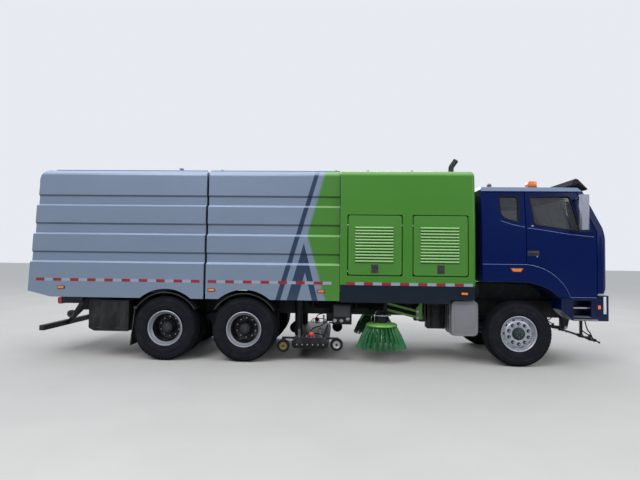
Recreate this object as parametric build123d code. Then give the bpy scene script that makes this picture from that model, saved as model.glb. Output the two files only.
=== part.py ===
from build123d import *

import os
from math import cos, radians, sin, sqrt

# Street sweeper truck, 6x4 cab-over, in millimetres.
# +X points forward, +Y to the driver's left, +Z up. The origin lies on the road,
# under the middle of the whole vehicle.

SIDES = (("right", -1), ("left", 1))

# Axles and overall length
REAR_OVERHANG = 2420
BOGIE = 1350
WHEELBASE = 4600
FRONT_OVERHANG = 1530
LENGTH = REAR_OVERHANG + BOGIE + WHEELBASE + FRONT_OVERHANG
X_REAR = REAR_OVERHANG - LENGTH / 2
X_MID = X_REAR + BOGIE
X_FRONT = X_MID + WHEELBASE

# Tyres and wheels
TYRE_R = 542.5
TYRE_W = 300
RIM_R = 291.5
RIM_WALL = 22
RIM_FLANGE = 7
BEAD_HALF = 112
RIM_HALF = 130
FRONT_TRACK_HALF = 1011
TWIN_OUTER_Y = 1092
TWIN_SPACING = 354
HUB_R = 112
BORE_GAP = 1.0
SPINDLE_R = 40
AXLE_TUBE_R = 62
DRUM_R = 205

# Clearances
GAP = 8
FACE_GAP = 0.5

# Body over the frame
BODY_HALF = 1245
BODY_TOP = 3265
BODY_FLOOR = 1180
FLOOR_T = 60
SKIRT_BOTTOM = 1050
SKIRT_T = 50
SHOULDER_R = 110
WALL = 45
GROOVE_DEPTH = 30
GROOVE_SLOPE = 28
# rows: groove bottom Z, groove top Z, half width of the panel above it
GROOVES = ((1642, 1837, 1215), (2127, 2332, 1180), (2625, 2823, 1145))
ARCH_R = 670

# Stations along the body
HOPPER_REAR = -REAR_OVERHANG + X_REAR + 17
HOPPER_FRONT = X_REAR + 650
TANK_REAR = HOPPER_FRONT + 38
TANK_FRONT = X_REAR + 2959
COMPARTMENT_REAR = TANK_FRONT + GAP
COMPARTMENT_FRONT = X_REAR + 5219

# Hopper: rear edge as (x, z) from the top down, hinge of its tail door, tipping pivot
REAR_EDGE = ((HOPPER_REAR + 207, BODY_TOP), (HOPPER_REAR + 90, 3018), (HOPPER_REAR, 1147))
REAR_SLOPE_X = HOPPER_REAR + 400
DOOR_HINGE_X = HOPPER_REAR + 251
TAIL_T = 70
HOPPER_PIVOT_X = X_REAR - 1900
HOPPER_PIVOT_Z = 985
HOPPER_PIN_R = 35

# Access doors of the machine compartment: name, rear x, front x
DOOR_STATIONS = (("rear", X_REAR + 3098, X_REAR + 3992), ("front", X_REAR + 4186, X_REAR + 5082))
ACCESS_BOTTOM = 1492
ACCESS_TOP = 2490
ACCESS_T = 35
ACCESS_GAP = 15
ACCESS_CORNER = 40
OPENING_CORNER = 20

# Chassis frame
RAIL_OUT = 435
RAIL_W = 80
RAIL_BOTTOM = 740
RAIL_TOP = 1040
RAIL_T = 10
RAIL_REAR = X_REAR - 1850
RAIL_FRONT = X_FRONT + 1230

# Cab
CAB_REAR = X_REAR + 5320
CAB_FRONT = X_FRONT + 1440
CAB_ROOF = 3045
CAB_WALL = 55
DOOR_T = 55
DOOR_GAP = 12
TILT_X = CAB_FRONT - 90
TILT_Z = 1250
TILT_R = 16
# half width of the cab at each height
CAB_SECTION = ((1232, 1100), (1245, 1700), (1240, 2250), (1150, 2930), (1090, 3000), (900, 3033),
               (400, CAB_ROOF))
# top and foot of the windscreen as (x, z)
WINDSCREEN = ((X_REAR + 6995, 2926), (X_REAR + 7321, 2206))
SCREEN_HALF_TOP = 960
SCREEN_HALF_FOOT = 1010
DOOR_REAR = X_REAR + 6043
DOOR_FRONT = X_FRONT + 1220
DOOR_TOP = 2905
DOOR_TOP_X = X_REAR + 6890
DOOR_SILL = 1170
BELT_Z = 2240
# windows as (x from the rear axle, z)
DOOR_WINDOW = ((6118, 2833), (6174, 2361), (6917, 2246), (6782, 2843))
QUARTER_WINDOW = ((5614, 2838), (5632, 2524), (5700, 2460), (5928, 2392), (5928, 2838))
GLASS_DEPTH = 20
GLASS_T = 8
CAB_FLOOR = 1480
FLARE_R = 800
FLARE_X = X_FRONT + 40
FLARE_TOP = 1701
FLARE_BAND = 298

# Front axle and steering
KINGPIN_Y = 900
KINGPIN_R = 25
STEER_ARM = 170
STEER_Z = 500

# Side brushes
BRUSH_X = X_REAR + 3700
BRUSH_Y = 830
DISC_R = 272
BRISTLE_R = 430
BRISTLE_TIP = 217
BRISTLE_TOP = 600
DISC_T = 50
POST_X = X_REAR + 4392
ARM_PIVOT_X = POST_X - 62
ARM_Y = 760
ARM_T = 40
ARM_LOW_Z = 740
ARM_RISE = 110
ARM_LENGTH = 572
ARM_ANGLE = 14

# Suction nozzle, its pipes and casters (x, z)
NOZZLE_REAR = X_REAR + 2150
NOZZLE_FRONT = X_REAR + 2780
NOZZLE_HALF = 1050
NOZZLE_T = 28
CASTER_R = 108
CASTER_AXLE_R = 16
PIPE_X = X_REAR + 2240
PIPE_Y = 700
PIPE_R = 70
PIPE_T = 8
REAR_CASTER = (X_REAR + 2008, 261)
FRONT_CASTER = (X_REAR + 2919, 296)


def box(x, y, z):
    """A block between the pairs of limits in x, y and z."""
    size = [b - a for a, b in (x, y, z)]
    middle = [(a + b) / 2 for a, b in (x, y, z)]
    return Pos(*middle) * Box(*size)


def across(side, inner, outer):
    """The y limits of a piece between two distances from the middle, on one side."""
    return tuple(sorted((side * inner, side * outer)))


def rod_x(x, y, z, radius):
    """A cylinder along X between two stations."""
    return Pos((x[0] + x[1]) / 2, y, z) * Rot(0, 90, 0) * Cylinder(radius, x[1] - x[0])


def rod_y(x, y, z, radius):
    """A cylinder along Y between two distances."""
    return Pos(x, (y[0] + y[1]) / 2, z) * Rot(90, 0, 0) * Cylinder(radius, y[1] - y[0])


def rod_z(x, y, z, radius):
    """An upright cylinder between two heights."""
    return Pos(x, y, (z[0] + z[1]) / 2) * Cylinder(radius, z[1] - z[0])


def outline(points, radius=0):
    """A closed flat face through the points, with its corners rounded where a radius is given."""
    face = make_face(Polyline(*points, close=True))
    return fillet(face.vertices(), radius) if radius else face


def side_prism(face, y):
    """A face drawn as (x, z) and carried across from y[0] to y[1]."""
    return extrude(Plane.XZ.offset(-y[1]) * face, amount=y[1] - y[0])


def cross_prism(face, x):
    """A face drawn as (y, z) and carried along from x[0] to x[1]."""
    return extrude(Plane.YZ.offset(x[0]) * face, amount=x[1] - x[0])


def plan_prism(face, z):
    """A face drawn as (x, y) and carried up from z[0] to z[1]."""
    return extrude(Plane.XY.offset(z[0]) * face, amount=z[1] - z[0])


def wheel_turn(points, x, y, side):
    """A ring turned about a wheel's axle, from (radius, outward offset) points."""
    face = make_face(Polyline(*[(r, side * w) for r, w in points], close=True))
    return Pos(x, y, TYRE_R) * revolve(face, Axis.Y)


def both(points):
    """A list of (y, z) points on the left, closed with their mirror image."""
    return points + [(-y, z) for y, z in reversed(points)]


# Wheels

def tyre(x, y, side):
    shoulder = TYRE_W / 2
    half = [(RIM_R + FACE_GAP, BEAD_HALF), (RIM_R + 18, BEAD_HALF), (340, shoulder - 8),
            (425, shoulder), (500, shoulder - 8), (TYRE_R - 6, shoulder - 32), (TYRE_R, shoulder - 70)]
    return wheel_turn(half + [(r, -w) for r, w in reversed(half)], x, y, side)


def rim(x, y, side):
    half = [(RIM_R - RIM_WALL, RIM_HALF), (RIM_R + RIM_FLANGE, RIM_HALF),
            (RIM_R + RIM_FLANGE, BEAD_HALF + 4), (RIM_R, BEAD_HALF + 1)]
    return wheel_turn(half + [(r, -w) for r, w in reversed(half)], x, y, side)


def front_wheel(side):
    y = side * FRONT_TRACK_HALF
    inner = RIM_R - RIM_WALL
    disc = [(inner + 2, 40), (inner + 2, 60), (238, 104), (225, 112), (HUB_R - 2, 112),
            (HUB_R - 2, 98), (220, 98), (inner - 20, 56)]
    hub = [(0, 98), (0, 148), (70, 148), (88, 138), (94, 112), (HUB_R, 112), (HUB_R, -20),
           (SPINDLE_R + BORE_GAP, -20), (SPINDLE_R + BORE_GAP, 98)]
    return (rim(X_FRONT, y, side) + wheel_turn(disc, X_FRONT, y, side)
            + wheel_turn(hub, X_FRONT, y, side))


def twin_wheel(x, side):
    outer = side * TWIN_OUTER_Y
    inner = side * (TWIN_OUTER_Y - TWIN_SPACING)
    well = RIM_R - RIM_WALL
    seam = -TWIN_SPACING / 2
    disc = [(well + 2, seam + 70), (well + 2, seam + 84), (226, seam + 14), (HUB_R - 2, seam + 14),
            (HUB_R - 2, seam - 14), (226, seam - 14), (well + 2, seam - 84), (well + 2, seam - 70),
            (246, seam - 30), (246, seam + 30)]
    hub = [(0, seam + 20), (0, 42), (74, 42), (92, 30), (96, seam + 90), (HUB_R, seam + 80),
           (HUB_R, seam - 20), (DRUM_R, seam - 55), (DRUM_R, seam - 260),
           (AXLE_TUBE_R + 4, seam - 260), (AXLE_TUBE_R + 4, seam - 60), (0, seam - 60)]
    return (rim(x, outer, side) + rim(x, inner, side) + wheel_turn(disc, x, outer, side)
            + wheel_turn(hub, x, outer, side))


# Body shapes

def grooved_section():
    """The ribbed cross-section of hopper and tank: panels that step in towards the roof."""
    width = BODY_HALF
    points = [(width, SKIRT_BOTTOM)]
    for low, high, above in GROOVES:
        points += [(width, low), (above - GROOVE_DEPTH, low + GROOVE_SLOPE),
                   (above - GROOVE_DEPTH, high - GROOVE_SLOPE), (above, high)]
        width = above
    edge = width - 10
    points += [(edge, BODY_TOP)]
    face = make_face(Polyline(*both(points), close=True))
    corners = [v for v in face.vertices() if abs(v.Y - BODY_TOP) < 1]
    return fillet(corners, SHOULDER_R)


def cavity_section():
    """The load space's cross-section, from the floor to the roof."""
    top = GROOVES[-1][2] - GROOVE_DEPTH - WALL
    points = [(top + 60, BODY_FLOOR + FLOOR_T), (top, BODY_TOP - FLOOR_T)]
    return make_face(Polyline(*both(points), close=True))


def smooth_section(inset=0):
    """The machine compartment's cross-section: plain sides that lean in above the belt."""
    half = BODY_HALF - inset
    belt = 1900
    top = BODY_TOP - inset
    lean = 75
    right = [(-half, SKIRT_BOTTOM - 20), (-half, belt)]
    left = [(half, belt), (half, SKIRT_BOTTOM - 20)]
    face = make_face(
        Polyline(*right)
        + ThreePointArc(right[-1], (-half + lean * 0.28, (belt + top) / 2), (-half + lean, top))
        + Line((-half + lean, top), (half - lean, top))
        + ThreePointArc((half - lean, top), (half - lean * 0.28, (belt + top) / 2), left[0])
        + Polyline(*left)
        + Line(left[-1], right[0]))
    corners = [v for v in face.vertices() if abs(v.Y - top) < 1]
    return fillet(corners, max(SHOULDER_R - inset, 20))


def wheel_arches(stations):
    """Cutters for the wheel arches in the skirts."""
    return [rod_y(x, (-BODY_HALF - 50, BODY_HALF + 50), TYRE_R, ARCH_R) for x in stations]


UNDERSIDE = box((-LENGTH, LENGTH), (-(BODY_HALF - SKIRT_T), BODY_HALF - SKIRT_T), (0, BODY_FLOOR))


def rear_outline(depth=0):
    """The hopper's side outline behind a station, drawn as (x, z) and set in by a depth."""
    top, shoulder, bottom = REAR_EDGE
    line = (Line((0, BODY_TOP - depth), (top[0] + depth * 0.4, BODY_TOP - depth))
            + ThreePointArc((top[0] + depth * 0.4, BODY_TOP - depth),
                            (shoulder[0] + 30 + depth * 0.8, BODY_TOP - 85 - depth * 0.8),
                            (shoulder[0] + depth, shoulder[1]))
            + Polyline((shoulder[0] + depth, shoulder[1]), (bottom[0] + depth, bottom[1]),
                       (REAR_SLOPE_X + depth, SKIRT_BOTTOM), (0, SKIRT_BOTTOM), (0, BODY_TOP - depth)))
    return make_face(line)


def hopper():
    wide = (-BODY_HALF - 50, BODY_HALF + 50)
    body = cross_prism(grooved_section(), (HOPPER_REAR, HOPPER_FRONT)) & side_prism(rear_outline(), wide)
    body -= UNDERSIDE
    body -= cross_prism(cavity_section(), (HOPPER_REAR - 10, HOPPER_FRONT - FLOOR_T))
    top = GROOVES[-1][2] - GROOVE_DEPTH - WALL
    body -= box((HOPPER_REAR - 10, DOOR_HINGE_X + 30), (-top, top), (BODY_FLOOR + 200, BODY_TOP + 10))
    body -= box((HOPPER_REAR - 10, HOPPER_REAR + TAIL_T + GAP), (-top - 58, top + 58),
                (SKIRT_BOTTOM, BODY_FLOOR + FLOOR_T))
    for cutter in wheel_arches((X_REAR,)):
        body -= cutter
    for side in (-1, 1):
        x, z = HOPPER_PIVOT_X, HOPPER_PIVOT_Z
        body += box((x - 60, HOPPER_FRONT - 40), across(side, 400, 490), (RAIL_TOP + 50, BODY_FLOOR))
        body += side_prism(outline([(x - 60, BODY_FLOOR), (x - 60, z - 30), (x - 30, z - 60), (x + 30, z - 60),
                                    (x + 60, z - 30), (x + 60, BODY_FLOOR)]), across(side, 460, 490))
    body -= rod_y(HOPPER_PIVOT_X, (-600, 600), HOPPER_PIVOT_Z, HOPPER_PIN_R + BORE_GAP)
    return body


def tail_door():
    wide = (-BODY_HALF, BODY_HALF)
    leaf = side_prism(rear_outline(), wide) - side_prism(rear_outline(TAIL_T), wide)
    leaf &= box((HOPPER_REAR - 10, DOOR_HINGE_X + 10), wide, (1130, BODY_TOP))
    top = GROOVES[-1][2] - GROOVE_DEPTH - WALL - GAP
    leaf &= cross_prism(outline(both([(top + 48, 1100), (top, BODY_TOP - FLOOR_T), (top, BODY_TOP)])),
                        (HOPPER_REAR - 10, DOOR_HINGE_X + 50))
    return leaf


def water_tank():
    body = cross_prism(grooved_section(), (TANK_REAR, TANK_FRONT)) - UNDERSIDE
    for cutter in wheel_arches((X_MID,)):
        body -= cutter
    return body


def access_outline(low, high, corner, clear=0):
    return outline([(low - clear, ACCESS_BOTTOM - clear), (high + clear, ACCESS_BOTTOM - clear),
                    (high + clear, ACCESS_TOP + clear), (low - clear, ACCESS_TOP + clear)], corner)


def machine_compartment():
    span = (COMPARTMENT_REAR, COMPARTMENT_FRONT)
    body = cross_prism(smooth_section(), span)
    front_top = [e for e in body.edges() if abs(e.center().X - span[1]) < 1 and e.center().Z > BODY_TOP - 1]
    body = fillet(front_top, 60)
    body -= cross_prism(smooth_section(WALL), (span[0] + WALL, span[1] - WALL)) & box(
        span, (-BODY_HALF, BODY_HALF), (BODY_FLOOR + FLOOR_T, BODY_TOP))
    body -= UNDERSIDE
    body -= box((X_REAR + 4790, span[1] + 10), (-BODY_HALF - 10, BODY_HALF + 10), (0, 1095))
    for name, low, high in DOOR_STATIONS:
        hole = access_outline(low, high, OPENING_CORNER, ACCESS_GAP)
        body -= side_prism(hole, (-BODY_HALF - 20, BODY_HALF + 20))
    return body


def access_door(side, low, high):
    layer = cross_prism(smooth_section(), (low, high))
    layer -= cross_prism(smooth_section(ACCESS_T), (low - 5, high + 5))
    return layer & side_prism(access_outline(low, high, ACCESS_CORNER), across(side, 900, BODY_HALF + 10))


# Cab

def cab_section(depth=0):
    points = [(y - depth, z if z < 2960 else z - depth) for y, z in CAB_SECTION]
    return outline(both(points))


def cab_side(depth=0):
    """The cab's side outline, drawn as (x, z): upright back, raked screen, tucked-in lower front."""
    top, foot = WINDSCREEN
    d = depth
    return outline([(CAB_REAR + d, 1100), (CAB_REAR + d, 2960), (CAB_REAR + 60 + d, CAB_ROOF - d),
                    (top[0] - 90 - d, CAB_ROOF - d), (top[0] - d, top[1]), (foot[0] - d, foot[1]),
                    (CAB_FRONT - 12 - d, 2062), (CAB_FRONT - 32 - d, 1330), (CAB_FRONT - 102 - d, 1235),
                    (X_FRONT + 1240, 1235), (X_FRONT + 1220, 1165), (X_FRONT + 645, 1165),
                    (X_FRONT + 635, 1100)])


def cab_plan(depth=0):
    half = BODY_HALF + 10 - depth
    face = make_face(Polyline((CAB_REAR - 10, -half), (CAB_FRONT - depth, -half), (CAB_FRONT - depth, half),
                              (CAB_REAR - 10, half), close=True))
    corners = [v for v in face.vertices() if v.X > 0 and v.X > CAB_FRONT - depth - 1]
    return fillet(corners, 220 - depth)


def cab_block(depth=0):
    wide = (-BODY_HALF - 10, BODY_HALF + 10)
    return (side_prism(cab_side(depth), wide) & cross_prism(cab_section(depth), (CAB_REAR, CAB_FRONT))
            & plan_prism(cab_plan(depth), (1000, CAB_ROOF + 10)))


def arch_line(drop):
    """The wheel arch seen from the side, open to the rear and below, drawn as (x, z)."""
    top = FLARE_TOP - drop
    reach = 790
    end = (FLARE_X + reach, top - FLARE_R + sqrt(FLARE_R**2 - reach**2))
    turn = radians(40)
    middle = (FLARE_X + FLARE_R * sin(turn), top - FLARE_R + FLARE_R * cos(turn))
    line = (Line((CAB_REAR - 50, top), (FLARE_X, top)) + ThreePointArc((FLARE_X, top), middle, end)
            + Polyline(end, (end[0], 0), (CAB_REAR - 50, 0), (CAB_REAR - 50, top)))
    return make_face(line)


def door_outline(clear=0):
    c = clear
    face = outline([(DOOR_REAR - c, DOOR_SILL - c), (DOOR_REAR - c, DOOR_TOP + c),
                    (DOOR_TOP_X + c, DOOR_TOP + c), (DOOR_FRONT + c, BELT_Z + c), (DOOR_FRONT + c, DOOR_SILL - c)])
    face -= Pos(0, 24 - c) * arch_line(0)
    return face


def window_outline(points, clear=0):
    face = outline([(X_REAR + x, z) for x, z in points], 30)
    return offset(face, amount=-clear) if clear else face


def screen_outline(clear=0):
    """The windscreen from the front, drawn as (y, z)."""
    c = clear
    return outline(both([(SCREEN_HALF_FOOT - c, 2250 + c), (SCREEN_HALF_TOP - c, 2880 - c)]))


def cab_shell():
    wide = (-BODY_HALF - 10, BODY_HALF + 10)
    body = cab_block()
    room = cab_block(CAB_WALL) & box((CAB_REAR, CAB_FRONT), wide, (CAB_FLOOR, CAB_ROOF))
    well = cab_block(CAB_WALL) & box((X_FRONT + 840, CAB_FRONT - 130), (-1180, 1180), (1300, 1500))
    body -= room + well
    for side in (-1, 1):
        body -= side_prism(arch_line(FLARE_BAND), across(side, 560, BODY_HALF + 20))
        body -= side_prism(door_outline(DOOR_GAP), across(side, 1080, BODY_HALF + 20))
    body -= box((CAB_REAR - 10, X_FRONT + 1080), (-565, 565), (1000, 1400))
    body -= box((X_FRONT + 1000, TILT_X + 30), (-600, 600), (1000, TILT_Z + 50))
    for side in (-1, 1):
        body += box((TILT_X - 25, TILT_X + 25), across(side, 520, 600), (TILT_Z - 25, TILT_Z + 51))
    body += rod_y(TILT_X, (-560, 560), TILT_Z, TILT_R)
    body -= side_prism(window_outline(QUARTER_WINDOW), wide)
    body -= cross_prism(screen_outline(), (X_FRONT + 900, CAB_FRONT + 10))
    return body


def cab_door(side):
    layer = cab_block() - cab_block(DOOR_T)
    panel = layer & side_prism(door_outline(), across(side, 1000, BODY_HALF + 10))
    return panel - side_prism(window_outline(DOOR_WINDOW), across(side, 900, BODY_HALF + 10))


def pane(points, side):
    layer = cab_block(GLASS_DEPTH) - cab_block(GLASS_DEPTH + GLASS_T)
    return layer & side_prism(window_outline(points, FACE_GAP), across(side, 1000, BODY_HALF))


def windscreen():
    layer = cab_block(GLASS_DEPTH) - cab_block(GLASS_DEPTH + GLASS_T)
    return layer & cross_prism(screen_outline(FACE_GAP), (X_FRONT + 900, CAB_FRONT))


def mirror_arm(side):
    x = X_REAR + 6900
    head = box((x - 78, x + 78), across(side, 1350, 1425), (2275, 2845))
    head = fillet(head.edges().filter_by(Axis.Z), 30)
    stays = Part()
    for z in (2330, 2790):
        stays += rod_y(x - 40, across(side, 1100, 1352), z, 12)
    return head + stays - cab_door(side) - cab_block(2)


def seats():
    x, z = CAB_REAR + 270, CAB_FLOOR + 20
    face = outline([(x + 140, z), (x + 700, z), (x + 720, z + 280), (x + 270, z + 260), (x + 120, z + 920),
                    (x, z + 920), (x + 90, z + 200)], 20)
    return Compound(children=[side_prism(face, across(side, 330, 850)) for _, side in SIDES])


def dashboard():
    x = DOOR_FRONT
    panel = side_prism(outline([(x - 210, 1302), (x, 1302), (x, 2100), (x - 340, 2080), (x - 380, 1900),
                                (x - 200, 1800)]), (-1080, 1080))
    column = Plane(Vector(x - 580, 590, 2130), z_dir=(0.62, 0, -0.78))
    wheel = column * (Torus(215, 14) + Box(415, 30, 14) + Cylinder(55, 24))
    return panel + wheel + Solid.make_cylinder(22, 380, column)


def sun_visor():
    x, z = WINDSCREEN[0]
    face = outline([(x - 135, z + 126), (x - 105, z + 214), (x - 65, z + 236), (x - 25, z + 224),
                    (x + 135, z + 59), (x + 120, z + 42), (x - 25, z + 154), (x - 65, z + 126)])
    return side_prism(face, (-1060, 1060))


def light_bar():
    x, z = CAB_REAR + 1077, CAB_ROOF
    face = outline([(x - 77, z + 30), (x + 78, z + 30), (x + 68, z + 150), (x - 67, z + 150)], 12)
    bar = side_prism(face, (-620, 620))
    for side in (-1, 1):
        bar += box((x - 28, x + 28), across(side, 300, 360), (z, z + 40))
    return bar


# Chassis

def chassis_frame():
    body = Part()
    for side in (-1, 1):
        out, t = RAIL_OUT, RAIL_T
        face = outline([(side * y, z) for y, z in (
            (out, RAIL_BOTTOM), (out, RAIL_TOP), (out - RAIL_W, RAIL_TOP), (out - RAIL_W, RAIL_TOP - t),
            (out - t, RAIL_TOP - t), (out - t, RAIL_BOTTOM + t), (out - RAIL_W, RAIL_BOTTOM + t),
            (out - RAIL_W, RAIL_BOTTOM))])
        body += cross_prism(face, (RAIL_REAR, RAIL_FRONT))
        body += box((HOPPER_PIVOT_X + 120, COMPARTMENT_FRONT - 40), across(side, out - RAIL_W, out),
                    (RAIL_TOP, RAIL_TOP + 42))
        pivot = side_prism(outline([(RAIL_REAR, RAIL_TOP - 5), (RAIL_REAR, 900), (HOPPER_PIVOT_X - 20, 940),
                                    (HOPPER_PIVOT_X - 50, HOPPER_PIVOT_Z),
                                    (HOPPER_PIVOT_X - 20, RAIL_TOP - 5)]), across(side, out - 25, out - 5))
        body += pivot
        lug = side_prism(outline([(RAIL_FRONT - 10, 1100), (TILT_X - 36, TILT_Z), (TILT_X - 20, TILT_Z + 32),
                                  (TILT_X + 20, TILT_Z + 32), (TILT_X + 36, TILT_Z), (TILT_X + 36, 900),
                                  (RAIL_FRONT - 200, 900), (RAIL_FRONT - 200, RAIL_TOP)]),
                         across(side, out, out + 25))
        body += lug
    for x in (RAIL_REAR + 6, X_REAR + 675, X_MID + 620, X_MID + 1900, X_MID + 3300, RAIL_FRONT - 40):
        body += box((x - 6, x + 30), (-RAIL_OUT + 15, RAIL_OUT - 15), (RAIL_BOTTOM + 10, RAIL_TOP - 10))
    body += rod_y(HOPPER_PIVOT_X, (-500, 500), HOPPER_PIVOT_Z, HOPPER_PIN_R)
    body -= rod_y(TILT_X, (-500, 500), TILT_Z, TILT_R + BORE_GAP)
    for y in (-80, 80):
        for z in (800, 900):
            body -= rod_x((RAIL_REAR - 40, RAIL_REAR + 60), y, z, 10.5)
    return body


def axles():
    """The two driven axle cases with their differentials, and the front beam between its kingpins."""
    body = []
    for x in (X_REAR, X_MID):
        case = rod_y(x, (-TWIN_OUTER_Y + 252, TWIN_OUTER_Y - 252), TYRE_R, AXLE_TUBE_R - 2)
        bulb = wheel_turn([(0, -210), (70, -200), (185, -90), (185, 90), (70, 200), (0, 210)], x, 0, 1)
        body.append(case + bulb)
    beam = cross_prism(outline(both([(700, 440), (KINGPIN_Y - 70, 490), (KINGPIN_Y, 490), (KINGPIN_Y, 595),
                                     (KINGPIN_Y - 70, 595), (700, 562)])), (X_FRONT - 45, X_FRONT + 45))
    for side in (-1, 1):
        beam += rod_z(X_FRONT, side * KINGPIN_Y, (490, 595), 50)
    for side in (-1, 1):
        beam -= rod_z(X_FRONT, side * KINGPIN_Y, (400, 700), KINGPIN_R + BORE_GAP)
    body.append(beam)
    return Compound(children=body)


def knuckle(side):
    y = side * KINGPIN_Y
    body = rod_z(X_FRONT, y, (440, 645), KINGPIN_R)
    body += rod_z(X_FRONT, y, (600, 645), 55) + rod_z(X_FRONT, y, (440, 485), 55)
    body += box((X_FRONT - 60, X_FRONT + 60), across(side, KINGPIN_Y + 56, KINGPIN_Y + 84), (440, 645))
    for z in ((600, 645), (440, 485)):
        body += box((X_FRONT - 50, X_FRONT + 50), across(side, KINGPIN_Y, KINGPIN_Y + 70), z)
    body += rod_y(X_FRONT, across(side, KINGPIN_Y + 80, FRONT_TRACK_HALF + 92), TYRE_R, SPINDLE_R)
    body += box((X_FRONT - STEER_ARM, X_FRONT - 20), across(side, KINGPIN_Y - 22, KINGPIN_Y + 22), (445, 475))
    body += rod_z(X_FRONT - STEER_ARM, y, (445, 475), 28)
    return body


def tie_rod():
    x = X_FRONT - STEER_ARM
    rod = rod_y(x, (-KINGPIN_Y, KINGPIN_Y), STEER_Z + 8, 18)
    for side in (-1, 1):
        rod += rod_z(x, side * KINGPIN_Y, (475.5, STEER_Z + 34), 26)
    return rod


def leaf_springs():
    group = []
    for side in (-1, 1):
        y = across(side, 392, 472)
        front = side_prism(outline([(X_FRONT - 960, 560), (X_FRONT - 960, 590), (X_FRONT - 400, 625),
                                    (X_FRONT - 160, 655), (X_FRONT + 160, 655), (X_FRONT + 420, 625),
                                    (X_FRONT + 1060, 590), (X_FRONT + 1060, 560), (X_FRONT + 420, 580),
                                    (X_FRONT + 160, 563), (X_FRONT - 160, 563), (X_FRONT - 400, 580)]), y)
        for x in (X_FRONT - 960, X_FRONT + 1060):
            front += rod_y(x, y, 575, 34)
            front += side_prism(outline([(x - 70, RAIL_BOTTOM - 1), (x + 70, RAIL_BOTTOM - 1), (x + 30, 560),
                                         (x - 30, 560)]), across(side, 372, 490))
        group.append(front)
        middle = (X_REAR + X_MID) / 2
        low = TYRE_R + AXLE_TUBE_R
        rear = side_prism(outline([(X_REAR - 90, low), (X_REAR - 90, low + 28), (middle - 420, low + 60),
                                   (middle - 120, low + 92), (middle + 120, low + 92),
                                   (middle + 420, low + 60), (X_MID + 90, low + 28), (X_MID + 90, low)]), y)
        rear += side_prism(outline([(middle - 130, RAIL_BOTTOM - 1), (middle + 130, RAIL_BOTTOM - 1),
                                    (middle + 60, 520), (middle - 60, 520)]), across(side, 372, 500))
        group.append(rear)
    return Compound(children=group)


def engine_blocks():
    road = box((X_FRONT - 420, X_FRONT + 700), (-330, 330), (680, 1340))
    sweeper = box((COMPARTMENT_REAR + 500, COMPARTMENT_REAR + 1650), (-420, 420),
                  (BODY_FLOOR + FLOOR_T, 2050))
    return Compound(children=[road, sweeper])


def fuel_tank():
    low, high = X_REAR + 4836, X_REAR + 5274
    face = outline([(low, 493), (high, 493), (high, 1075), (low, 1075)], 75)
    tank = side_prism(face, (-1150, -560))
    for y in (-1010, -700):
        strap = side_prism(offset(face, amount=12), (y - 25, y + 25)) - side_prism(face, (y - 30, y + 30))
        tank += strap
    tank += box((low + 60, high - 60), (-562, -RAIL_OUT), (780, 1000))
    return tank


def air_tanks():
    body = Part()
    for z in (610, 880):
        body += fillet(rod_x((X_REAR + 4500, X_REAR + 5250), 800, z, 125).edges(), 30)
    for x in (X_REAR + 4620, X_REAR + 5130):
        body += box((x - 20, x + 20), (RAIL_OUT, 800), (600, 890))
    return body


def front_bumper():
    half = BODY_HALF - 5
    nose = CAB_FRONT + 90
    plan = make_face(Polyline((X_FRONT + 1130, -half), (nose - 110, -half)) + ThreePointArc(
        (nose - 110, -half), (nose, 0), (nose - 110, half)) + Polyline(
        (nose - 110, half), (X_FRONT + 1130, half), (X_FRONT + 1130, half - 60)) + ThreePointArc(
        (X_FRONT + 1130, half - 60), (nose - 70, 0), (X_FRONT + 1130, -half + 60)) + Line(
        (X_FRONT + 1130, -half + 60), (X_FRONT + 1130, -half)))
    corners = [v for v in plan.vertices() if abs(v.X - nose + 110) < 1]
    body = plan_prism(fillet(corners, 60), (790, 1205))
    body -= box((X_FRONT, DOOR_FRONT + 12), (-half - 10, half + 10), (1155, 1210))
    for side in (-1, 1):
        step = side_prism(outline([(X_FRONT + 650, 1155), (X_FRONT + 1225, 1155), (X_FRONT + 1225, 790),
                                   (X_FRONT + 840, 790), (X_FRONT + 650, 960)]), across(side, 860, half))
        step -= box((X_FRONT + 840, X_FRONT + 1180), across(side, 1000, half + 20), (850, 1120))
        body += step
        body += box((X_FRONT + 1150, X_FRONT + 1222), across(side, RAIL_OUT + 25, 870), (850, 1000))
    body += box((RAIL_FRONT, nose - 60), (-RAIL_OUT, RAIL_OUT), (860, 960))
    body -= rod_z(nose - 115, 0, (700, 1300), 20)
    return body


def mudguards():
    group = []
    for side in (-1, 1):
        guard = Part()
        for x in (X_REAR, X_MID):
            ring = rod_y(x, across(side, 590, 1235), TYRE_R, 610) - rod_y(x, across(side, 580, 1245), TYRE_R, 598)
            guard += ring & box((x - 620, x + 620), across(side, 580, 1245), (1000 - 130, 1200))
            for step in (-380, 380):
                guard += rod_y(x + step, across(side, RAIL_OUT, 620), 1005, 16)
        guard += side_prism(outline([(X_REAR - 600, 240), (X_REAR - 585, 240), (X_REAR - 515, 905),
                                     (X_REAR - 530, 905)]), across(side, 600, 1225))
        guard += box((X_REAR - 545, X_REAR - 485), across(side, 600, 1225), (860, 905))
        group.append(guard)
    return Compound(children=group)


def rear_bars():
    body = Part()
    for side in (-1, 1):
        body += box((HOPPER_PIVOT_X + 40, HOPPER_PIVOT_X + 100), across(side, 505, 1230), (930, RAIL_TOP))
        arm = side_prism(outline([(RAIL_REAR, 930), (RAIL_REAR, 760), (X_REAR - 2165, 450),
                                  (X_REAR - 2165, 540)]), across(side, 370, 405))
        body += arm
    body += box((HOPPER_PIVOT_X + 70, HOPPER_PIVOT_X + 100), (-520, 520), (RAIL_TOP, RAIL_TOP + 9))
    body += box((X_REAR - 2250, X_REAR - 2160), (-1130, 1130), (450, 540))
    return body


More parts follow.
